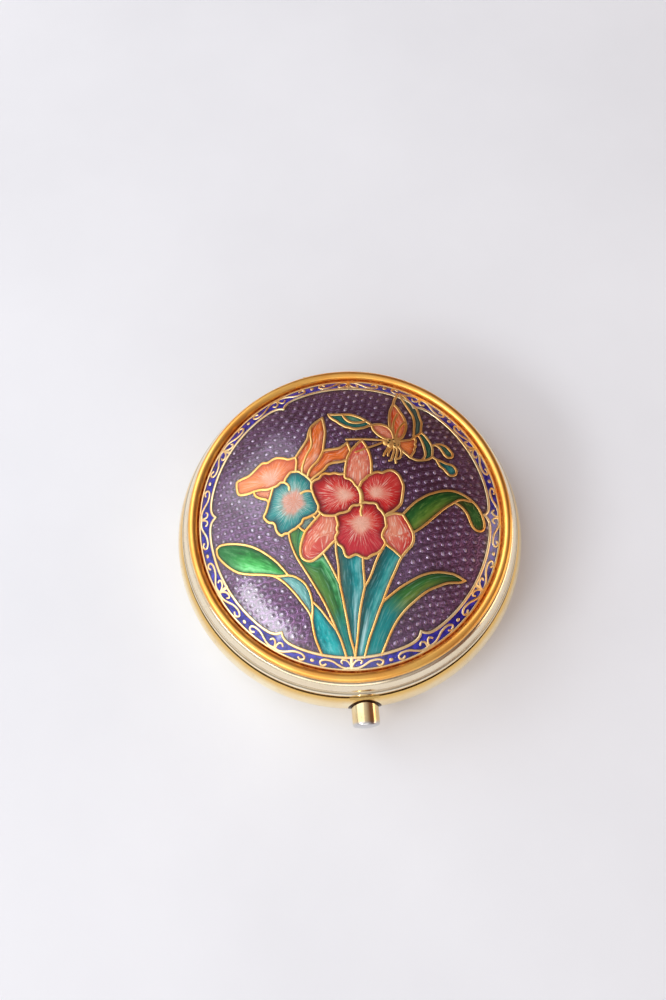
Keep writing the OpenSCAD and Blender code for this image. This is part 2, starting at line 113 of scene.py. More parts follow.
# Centre lines of the gilt wires, as (x, y) points that a smooth curve runs through.
WIRES = {
    # The orange flower behind: a broad petal, its lobe, a tall petal and a right petal.
    "broad_petal": [(-7.4, 7.55), (-8.4, 7.35), (-9, 7.55), (-10, 7.7), (-10.6, 7.5), (-11.3, 7.1),
        (-12, 7.1), (-12.6, 6.6), (-13.8, 5.45), (-15, 5), (-15.6, 4.5), (-15.3, 2.85), (-14.2, 2.7),
        (-13.1, 2.95)],
    "broad_petal_low": [(-13.1, 2.95), (-12.2, 3.1), (-11.2, 3.05), (-10.45, 3.25)],
    "lobe": [(-13.1, 2.95), (-12.9, 2.3), (-12.2, 1.85), (-11.4, 1.6), (-11, 1.15)],
    "petal_seam": [(-7.4, 7.55), (-7.25, 6.9), (-7.3, 6.2), (-7.35, 5.4)],
    "tall_petal_left": [(-7.4, 7.55), (-6.8, 8.6), (-5.85, 10.3), (-5.65, 11.3), (-5.35, 12.25),
        (-4.7, 13.05), (-3.75, 13.85)],
    "tall_petal_right": [(-3.75, 13.85), (-3.5, 12.6), (-3.35, 11.5), (-3.42, 10.4), (-3.65, 8.3)],
    "tall_petal_vein": [(-5.35, 12.1), (-5.35, 10.9), (-5.2, 9.8), (-5.35, 8.9), (-5.9, 7.8), (-6.4, 6.2),
        (-6.5, 5.05)],
    "petal_fork": [(-3.65, 8.3), (-3.95, 7.6), (-4.4, 6.8), (-5.05, 6.1), (-5.5, 5.4), (-5.75, 4.45)],
    "right_petal_top": [(-3.65, 8.3), (-3.1, 8.5), (-2.2, 8.6), (-1.4, 8.75), (-0.9, 9.05), (-0.3, 9.55)],
    "right_petal_tip": [(-0.3, 9.55), (-0.1, 9.05), (0.15, 8.25)],
    "right_petal_low": [(-0.4, 6.9), (-1.2, 6.65), (-2.3, 6.5), (-3, 6.15), (-3.45, 5.55), (-4.1, 5),
        (-4.8, 4.45), (-5.3, 3.95)],
    # The turquoise flower, clockwise from its left shoulder.
    "teal_left_top": [(-11, 1.15), (-10.8, 1.9), (-10.6, 2.7), (-10.45, 3.25)],
    "teal_notch": [(-10.45, 3.25), (-9.85, 3.5), (-9.4, 3.9), (-8.9, 3.9)],
    "teal_hook_left": [(-8.9, 3.9), (-8.5, 3.6), (-8.25, 3.25), (-8.2, 2.8)],
    "teal_upper_left": [(-8.9, 3.9), (-8.75, 4.4), (-8.4, 4.95), (-8, 5.35), (-7.35, 5.4)],
    "teal_crest": [(-7.35, 5.4), (-6.95, 5.38), (-6.5, 5.05)],
    "teal_crest_low": [(-6.5, 5.05), (-6.05, 4.75), (-5.75, 4.45)],
    "teal_shoulder": [(-5.75, 4.45), (-5.5, 4.2), (-5.3, 3.95)],
    "teal_neck": [(-5.3, 3.95), (-5.15, 3.6)],
    "teal_red": [(-5.15, 3.6), (-5.2, 3), (-5.08, 2.4), (-4.8, 1.6), (-4.5, 0.9), (-4.25, 0.3),
        (-4.3, -0.35)],
    "teal_hook_right": [(-5.08, 2.4), (-5.6, 2.47), (-6.1, 2.42), (-6.6, 2.15)],
    "teal_low_right": [(-4.3, -0.35), (-4.65, -0.8), (-5, -1)],
    "teal_low": [(-5, -1), (-5.7, -1.3), (-6.25, -1.5), (-6.5, -2.05), (-6.95, -2.45)],
    "teal_low_left": [(-6.95, -2.45), (-7.3, -2.75), (-7.8, -3), (-8.25, -3.35)],
    "teal_left": [(-8.25, -3.35), (-8.75, -3.4), (-9.15, -3.6), (-9.6, -3.35), (-9.95, -2.8),
        (-10.1, -2.15), (-10.4, -1.8), (-10.95, -1.7), (-11.4, -1.3), (-11.65, -0.85), (-11.4, -0.3),
        (-11.2, 0.3), (-11, 1.15)],
    # The red flower: two petals, a lip and three sepals.
    "sepal_apex_left": [(1.75, 9.95), (1.2, 9.5), (0.6, 8.8), (0.15, 8.25)],
    "sepal_left": [(0.15, 8.25), (-0.15, 7.6), (-0.4, 6.9)],
    "sepal_left_low": [(-0.4, 6.9), (-0.5, 6.2), (-0.62, 5.4), (-0.65, 4.85)],
    "sepal_foot": [(-0.65, 4.85), (-0.6, 4.25), (0, 4.05), (0.45, 3.65), (0.75, 3.15), (1.15, 2.8)],
    "sepal_right": [(1.75, 9.95), (2.3, 9), (2.75, 7.8), (2.95, 6.6), (2.97, 5.6), (2.9, 4.75)],
    "sepal_heel": [(2.9, 4.75), (2.45, 4.5), (2.1, 4.1), (1.6, 3.65), (1.4, 3.2), (1.15, 2.8)],
    "red_left_top": [(-0.65, 4.85), (-1.4, 4.8), (-2.05, 4.97), (-2.7, 4.85), (-3.3, 4.95), (-3.8, 4.7),
        (-4.15, 4.25), (-4.7, 4), (-5.15, 3.6)],
    "red_left_corner": [(-4.3, -0.35), (-3.9, -0.8)],
    "red_left_base": [(-3.9, -0.8), (-3.4, -1.05), (-2.6, -1.12), (-1.95, -1.1)],
    "red_left_low": [(-1.95, -1.1), (-1.4, -0.8), (-0.8, -0.68), (-0.2, -0.45), (0.1, 0), (0.5, 0.3),
        (1, 0.32), (1.5, 0.5)],
    "red_seam": [(1.15, 2.8), (1.4, 2.3), (1.54, 1.7), (1.55, 1.1), (1.5, 0.5)],
    "red_right_top": [(2.9, 4.75), (3.4, 5), (3.9, 5.1), (4.45, 5), (5, 5.25), (5.55, 5.4), (6.1, 5.2),
        (6.65, 4.7), (7, 3.95), (7.25, 3.1), (7.15, 2.2), (7, 1.2), (6.8, 0.5), (6.25, -0.12)],
    "red_right_low": [(6.25, -0.12), (5.7, -0.55), (5.1, -0.85), (4.65, -1.25)],
    "lip_crest": [(1.5, 0.5), (2, 0.7), (2.6, 0.62), (3.2, 0.6), (3.6, 0.4), (3.8, -0.1), (4.2, -0.5),
        (4.45, -0.9), (4.65, -1.25)],
    "lip_cleft": [(1.5, 0.5), (1.58, 0.05), (1.42, -0.5), (1.5, -1.1)],
    "lip_left": [(-1.95, -1.1), (-1.8, -1.7), (-1.65, -2.35), (-1.82, -2.95), (-1.67, -3.45), (-1.98, -4),
        (-1.95, -4.5)],
    "lip_low_left": [(-1.95, -4.5), (-1.65, -5.05), (-1.2, -5.35), (-0.95, -5.75), (-0.8, -6.3),
        (-0.55, -6.7), (-0.15, -6.8), (0.25, -6.62), (0.7, -6.45), (1.15, -6.6), (1.6, -6.85)],
    "lip_low": [(1.6, -6.85), (2.2, -6.95), (2.6, -6.7), (3, -6.48), (3.6, -6.25), (4.1, -5.85)],
    "lip_low_right": [(4.1, -5.85), (4.4, -5.4), (4.65, -4.95)],
    "lip_right": [(4.65, -4.95), (4.5, -4.5), (4.25, -4.1), (4.28, -3.65), (4.5, -3.15), (4.78, -2.65),
        (4.75, -2.1), (4.65, -1.25)],
    "low_sepal_shoulder": [(-3.9, -0.8), (-4.2, -1.1), (-4.55, -1.5)],
    "bract_top": [(-4.55, -1.5), (-5, -1)],
    "low_sepal_side": [(-4.55, -1.5), (-5.05, -2.05), (-5.5, -2.6), (-6, -3.2)],
    "low_sepal_tip": [(-6, -3.2), (-6.35, -4.1), (-6.6, -5), (-6.68, -5.9), (-6.45, -6.7), (-5.9, -7.12),
        (-5.2, -7.2), (-4.5, -6.85), (-3.65, -6.15)],
    "low_sepal_right": [(-3.65, -6.15), (-3, -5.5), (-2.4, -4.85), (-1.95, -4.5)],
    "right_sepal_top": [(4.65, -1.25), (5.3, -1), (6, -0.82), (6.6, -0.9), (7.05, -0.95)],
    "right_sepal_side": [(7.05, -0.95), (7.5, -1.7), (7.95, -2.5), (8.35, -3.4)],
    "right_sepal_tip": [(8.35, -3.4), (8.42, -4), (8.35, -4.6), (8.05, -5.25), (7.5, -5.85),
        (6.75, -6.75)],
    "right_sepal_low": [(6.75, -6.75), (6.3, -6.35), (5.7, -5.8), (5.2, -5.45), (4.65, -4.95)],
    # Leaves and stems, from left to right.
    "left_leaf_high": [(-8.3, -8.95), (-8.9, -8.2), (-9.8, -7.2), (-10.8, -6.35), (-12, -5.5),
        (-13.1, -4.9), (-14.2, -4.5), (-15.2, -4.25), (-16.2, -4.1), (-17.2, -4.05), (-17.9, -4.15),
        (-18.3, -4.5)],
    "left_leaf_under": [(-18.3, -4.5), (-18.25, -5.1), (-18, -5.7), (-17.3, -6.5), (-16.4, -7.3),
        (-15.4, -7.95), (-14.4, -8.3), (-13.2, -8.5), (-11.8, -8.65), (-10.4, -8.87)],
    "left_leaf_end": [(-10.4, -8.87), (-9.4, -9), (-8.3, -8.95)],
    "pale_stem_right": [(-8.3, -8.95), (-7.6, -9.1), (-6.9, -9.45), (-6.2, -10), (-5.7, -10.7),
        (-5.4, -11.4), (-5.15, -12.4)],
    "pale_stem_left": [(-10.4, -8.87), (-9.6, -9.3), (-8.8, -9.9), (-7.9, -10.8), (-7.2, -11.6),
        (-6.5, -12.5), (-5.85, -13.35), (-5.4, -14.1), (-5.2, -14.8)],
    "stem_join": [(-5.15, -12.4), (-5.1, -13.4), (-5.2, -14.8)],
    "low_leaf_left": [(-5.2, -14.8), (-5.02, -16), (-4.75, -17.1), (-4.4, -18), (-3.9, -19.1)],
    "low_leaf_right": [(-5.15, -12.4), (-4.6, -12.9), (-4, -13.5), (-3, -14.8), (-2.5, -15.4),
        (-1.95, -16.1)],
    "leaf_cap": [(-6.95, -2.45), (-6.5, -2.9), (-6, -3.2)],
    "mid_leaf_left": [(-8.25, -3.35), (-8.05, -4.4), (-7.6, -5.7), (-7, -6.95), (-6.2, -8.2),
        (-5.2, -9.8), (-4.3, -11.3), (-3.5, -12.7), (-2.6, -14.6), (-1.95, -16.1)],
    "mid_leaf_foot": [(-1.95, -16.1), (-1.35, -17.4), (-0.65, -19.5)],
    "mid_leaf_right": [(-3.65, -6.15), (-3.1, -7.1), (-2.5, -8.2), (-2, -9.2), (-1.5, -10.2)],
    "leaf_and_stem": [(-1.5, -10.2), (-1.15, -11.8), (-0.85, -13.4), (-0.5, -15.2), (-0.15, -17),
        (0.3, -18.5), (0.5, -19.5)],
    "stem_left": [(-1.95, -4.5), (-1.95, -5.8), (-1.8, -6.9), (-1.65, -8), (-1.6, -9.2), (-1.5, -10.2)],
    "stem_right": [(1.6, -6.85), (1.62, -7.7), (1.67, -8.6), (1.75, -9.6), (1.8, -10.7)],
    "stem_seam": [(1.8, -10.7), (1.5, -12), (1.25, -13.2), (1.05, -14.5), (0.9, -16), (0.75, -17.4),
        (0.6, -18.5), (0.5, -19.5)],
    "right_stem_left": [(4.1, -5.85), (3.6, -6.8), (3.2, -7.7), (2.8, -8.8), (2.35, -9.8), (1.8, -10.7)],
    "right_stem_right": [(6.75, -6.75), (6.4, -7.4), (6, -8.3), (5.2, -10), (4.6, -11.4), (4.15, -12.6)],
    "stem_and_leaf": [(4.15, -12.6), (3.7, -13.6), (3.25, -14.8), (2.8, -16), (2.35, -17.2),
        (1.7, -19.45)],
    "low_right_leaf_top": [(4.15, -12.6), (5, -11.9), (6, -11.1), (7, -10.4), (8, -9.8), (9, -9.25),
        (10, -8.85), (11, -8.6), (12, -8.5), (13, -8.55), (14, -8.7), (15.4, -9.35)],
    "low_right_leaf_low": [(15.4, -9.35), (14.6, -9.65), (13.6, -9.75), (12.6, -9.95), (10.6, -10.8),
        (9.5, -11.5), (8.4, -12.4), (7.4, -13.3), (6.5, -14.3), (5.8, -15.3), (5.2, -16.4), (4.7, -17.5),
        (4, -19.1)],
    "high_leaf_top": [(7.05, -0.95), (8, 0.1), (8.8, 0.85), (9.6, 1.4), (10.5, 1.95), (11.6, 2.4),
        (12.6, 2.7), (13.6, 2.85), (14.5, 2.8), (15.5, 2.5), (16.3, 2.1), (16.9, 1.65)],
    "high_leaf_low": [(8.35, -3.4), (9, -3.05), (10, -2.3), (12, -0.5), (13, 0.35), (14.3, 1.25)],
    "high_leaf_fold": [(14.3, 1.25), (14.9, 1.6), (15.6, 1.72), (16.3, 1.65), (16.9, 1.65)],
    "high_leaf_tip": [(16.9, 1.65), (17.4, 1.2), (17.9, 0.5), (18.25, -0.3), (18.45, -1.2), (18.4, -1.9),
        (18.1, -2.3), (17.6, -2.45), (17.1, -2.3), (16.7, -1.9), (16.4, -1.2), (16.1, -0.4), (15.7, 0.2),
        (15.2, 0.7), (14.3, 1.25)],
    # The butterfly.
    "far_wing_top": [(-2.85, 14.4), (-2, 14.35), (-0.9, 14.35)],
    "far_wing_arc": [(-0.9, 14.35), (-0.7, 13.9), (-0.35, 13.4), (0.1, 13.05), (0.7, 12.88), (1.4, 12.87),
        (2.4, 13.15)],
    "far_wing_crest": [(-0.9, 14.35), (-0.3, 14.35), (0.4, 14.25), (1.2, 13.95), (1.9, 13.55),
        (2.4, 13.15)],
    "far_wing_root": [(2.4, 13.15), (2.8, 12.85), (3.2, 12.45)],
    "far_wing_low": [(-2.85, 14.4), (-2.6, 13.9), (-2.2, 13.5), (-1.7, 13.15), (-1.35, 12.8),
        (-0.9, 12.5), (-0.55, 12.25), (0, 12.1), (0.5, 11.9), (1, 11.85), (1.6, 11.95), (2.2, 12.1),
        (2.7, 12.35), (3.2, 12.45)],
    "pink_wing_top": [(3.2, 12.45), (3.7, 12.6), (4.3, 12.65), (5, 12.45), (5.5, 12.15), (5.9, 11.6),
        (6.1, 10.9), (6.2, 10.2)],
    "pink_wing_low": [(3.2, 12.45), (3.35, 11.8), (3.75, 11.2), (4.3, 10.7), (4.9, 10.35), (5.5, 10.15),
        (6.2, 10.2)],
    "high_wing_left": [(6.4, 16.5), (6.05, 15.7), (5.8, 14.8), (5.68, 13.8), (5.66, 12.9), (5.75, 12.1),
        (6, 11.4), (6.35, 10.1)],
    "high_wing_right": [(6.4, 16.5), (6.9, 15.8), (7.3, 15), (7.65, 14.3), (7.9, 13.5), (8, 12.6),
        (7.85, 11.8), (7.6, 11.1), (7.2, 10.5), (6.35, 10.1)],
    "high_wing_vein": [(6.85, 14.6), (6.45, 13.7), (6.2, 12.8), (6.12, 11.9), (6.2, 11), (6.4, 10.3)],
    "high_wing_rib": [(7.8, 13.2), (7.3, 12.6), (6.9, 11.9), (6.65, 11.2), (6.5, 10.4)],
    "high_wing_stalk": [(6.4, 16.5), (6.55, 17.2), (6.8, 17.9), (7.1, 18.6)],
    "crescent_outside": [(7.5, 18.7), (8.1, 18.2), (8.6, 17.5), (9.1, 16.8), (9.5, 16.3), (9.8, 15.6),
        (9.95, 14.8), (10.1, 14.1), (10.25, 13.4), (10.15, 12.6), (10.08, 11.7)],
    "crescent_inside": [(7.5, 18.7), (7.55, 18), (7.9, 17.1), (8.3, 16.2), (8.75, 15.3), (9.05, 14.6),
        (9.2, 13.7), (9.2, 12.8), (9.1, 12), (9, 10.8)],
    "crescent_end": [(10.08, 11.7), (9.65, 11.2)],
    "crescent_link": [(9.65, 11.2), (9, 10.8)],
    "tail_outside": [(10.08, 11.7), (10.5, 11.3), (10.9, 10.75), (11.25, 10.15), (11.48, 9.6), (11.55, 9),
        (11.5, 8.4), (11.42, 7.85)],
    "tail_low": [(11.42, 7.85), (11.1, 7.5), (10.6, 7.25), (9.95, 7.12)],
    "tail_inside": [(9.65, 11.2), (9.95, 10.65), (10.15, 10.1), (10.35, 9.4), (10.45, 8.8), (10.5, 8.2),
        (10.35, 7.65), (9.95, 7.12)],
    "tail_rim": [(9.95, 7.12), (9.2, 7.12), (8.35, 7.45)],
    "fan_foot": [(8.35, 7.45), (7.9, 7.9), (7.4, 8.35), (6.9, 8.9)],
    "fan_top": [(9, 10.8), (8.75, 10.45), (8.3, 10.25), (7.6, 10.1), (6.9, 10)],
    "fan_edge": [(9, 10.8), (9.25, 10.15), (9.1, 9.7), (9.2, 9.3), (9, 8.9), (8.95, 8.45), (8.7, 8.05),
        (8.35, 7.45)],
    "high_drop": [(11.48, 9.6), (12.2, 9.92), (12.8, 10), (13.35, 9.85), (13.9, 9.45), (14.35, 8.8),
        (14.4, 8.3), (14.1, 8), (13.7, 7.97), (13.3, 8.3), (13, 8.8), (12.65, 9.4), (12.1, 9.8)],
    "low_drop": [(11.42, 7.85), (12.1, 7.42), (12.8, 7.2), (13.4, 6.95), (14.1, 6.85), (14.6, 6.5),
        (14.8, 6), (14.7, 5.5), (14.3, 5.2), (13.8, 5.2), (13.4, 5.6), (13, 6.1), (12.5, 6.5),
        (12.05, 7.4)],
    "feeler": [(4.9, 10), (4.2, 10.05), (2, 10.15), (0.5, 10.13), (-0.4, 10.1)],
    "low_feeler": [(4.9, 9.75), (4.2, 9.45), (3, 8.95), (2, 8.55), (0.85, 8.08)],
    "leg_a": [(5.5, 9.1), (5.15, 8.5), (4.85, 8), (4.7, 7.6)],
    "leg_b": [(6, 9.2), (5.6, 8.5), (5.35, 8), (5.3, 7.6)],
    "leg_c": [(6.2, 9.1), (6.15, 8.4), (5.9, 7.6), (5.7, 6.95), (5.45, 6.85)],
    "leg_d": [(6.5, 9.2), (6.6, 8.5), (6.45, 7.7), (6.3, 7.1), (6.35, 6.55)],
    "leg_e": [(6.9, 9), (7.15, 8.4), (7.1, 7.8), (6.9, 7.3), (6.5, 7.15)],
}

# The cells: the wires round each, in order; a minus sign walks a wire from its end to its start.
CELLS = {
    "broad_petal": ["broad_petal", "broad_petal_low", "teal_notch", "teal_upper_left", "-petal_seam"],
    "lobe": ["lobe", "teal_left_top", "-broad_petal_low"],
    "tall_petal": ["tall_petal_left", "tall_petal_right", "petal_fork", "-teal_crest_low", "-teal_crest",
        "-petal_seam"],
    "right_petal": ["right_petal_top", "right_petal_tip", "sepal_left", "right_petal_low",
        "-teal_shoulder", "-petal_fork"],
    "teal_flower": ["teal_notch", "teal_upper_left", "teal_crest", "teal_crest_low", "teal_shoulder",
        "teal_neck", "teal_red", "teal_low_right", "teal_low", "teal_low_left", "teal_left",
        "teal_left_top"],
    "bract": ["teal_low", "leaf_cap", "-low_sepal_side", "bract_top"],
    "red_left": ["red_left_top", "teal_red", "red_left_corner", "red_left_base", "red_left_low",
        "-red_seam", "-sepal_foot"],
    "red_right": ["red_right_top", "red_right_low", "-lip_crest", "-red_seam", "-sepal_heel"],
    "lip": ["lip_left", "lip_low_left", "lip_low", "lip_low_right", "lip_right", "-lip_crest",
        "-red_left_low"],
    "high_sepal": ["sepal_apex_left", "sepal_left", "sepal_left_low", "sepal_foot", "-sepal_heel",
        "-sepal_right"],
    "low_sepal": ["low_sepal_shoulder", "low_sepal_side", "low_sepal_tip", "low_sepal_right", "-lip_left",
        "-red_left_base"],
    "right_sepal": ["right_sepal_top", "right_sepal_side", "right_sepal_tip", "right_sepal_low",
        "lip_right"],
    "left_leaf": ["left_leaf_high", "left_leaf_under", "left_leaf_end"],
    "pale_stem": ["left_leaf_end", "pale_stem_right", "stem_join", "-pale_stem_left"],
    "low_leaf": ["low_leaf_right", "mid_leaf_foot", "-low_leaf_left", "-stem_join"],
    "mid_leaf": ["mid_leaf_left", "mid_leaf_foot", "-leaf_and_stem", "-mid_leaf_right", "-low_sepal_tip",
        "-leaf_cap", "teal_low_left"],
    "stem": ["stem_left", "leaf_and_stem", "-stem_seam", "-stem_right", "-lip_low_left"],
    "right_stem": ["right_stem_left", "stem_seam", "-stem_and_leaf", "-right_stem_right",
        "right_sepal_low", "-lip_low_right"],
    "low_right_leaf": ["low_right_leaf_top", "low_right_leaf_low", "-stem_and_leaf"],
    "high_leaf": ["high_leaf_top", "-high_leaf_fold", "-high_leaf_low", "-right_sepal_side"],
    "leaf_fold": ["high_leaf_fold", "high_leaf_tip"],
    "far_wing": ["far_wing_top", "far_wing_arc", "far_wing_root", "-far_wing_low"],
    "far_wing_eye": ["far_wing_crest", "-far_wing_arc"],
    "pink_wing": ["pink_wing_top", "-pink_wing_low"],
    "high_wing": ["high_wing_left", "-high_wing_right"],
    "crescent": ["crescent_outside", "crescent_end", "crescent_link", "-crescent_inside"],
    "tail": ["tail_outside", "tail_low", "-tail_inside", "-crescent_end"],
    "fan": ["fan_edge", "fan_foot", "-fan_top"],
    "high_drop": ["high_drop"],
    "low_drop": ["low_drop"],
}


# ---------------------------------------------------------------- colours of the cells

def petal(centre, streaks, stops, side=0, spread=1, **glaze):
    """A cell whose streaks run out from a centre; the stops colour it from there to its rim.

    Its value "along" is 1 towards `side`, in degrees. A larger spread takes the middle colours out."""
    return dict(flow=dict(centre=centre, streaks=streaks, side=side, spread=spread),
                glaze=dict(stops=stops, **glaze))


def blade(left, right, streaks, stops, **glaze):
    """A cell whose streaks run lengthwise; the stops colour it from its left wires to its right ones."""
    return dict(flow=dict(left=left, right=right, streaks=streaks), glaze=dict(stops=stops, **glaze))


def leaf(left, right, streaks, stops, dark, pale, layers=()):
    """A blade with more of the foil showing through, and fainter painted glints along its streaks."""
    return blade(left, right, streaks, stops, layers=layers, dark=dark, pale=pale, foil=0.6, streak=0.2)


CRIMSON = [(0.0, (246, 188, 164)), (0.3, (242, 164, 140)), (0.46, (232, 98, 78)), (0.6, (216, 22, 22)),
    (0.82, (178, 3, 12)), (1.0, (110, 2, 8))]
ORANGE = [(0.0, (214, 72, 14)), (0.3, (240, 112, 34)), (0.7, (244, 122, 46)), (1.0, (212, 74, 16))]

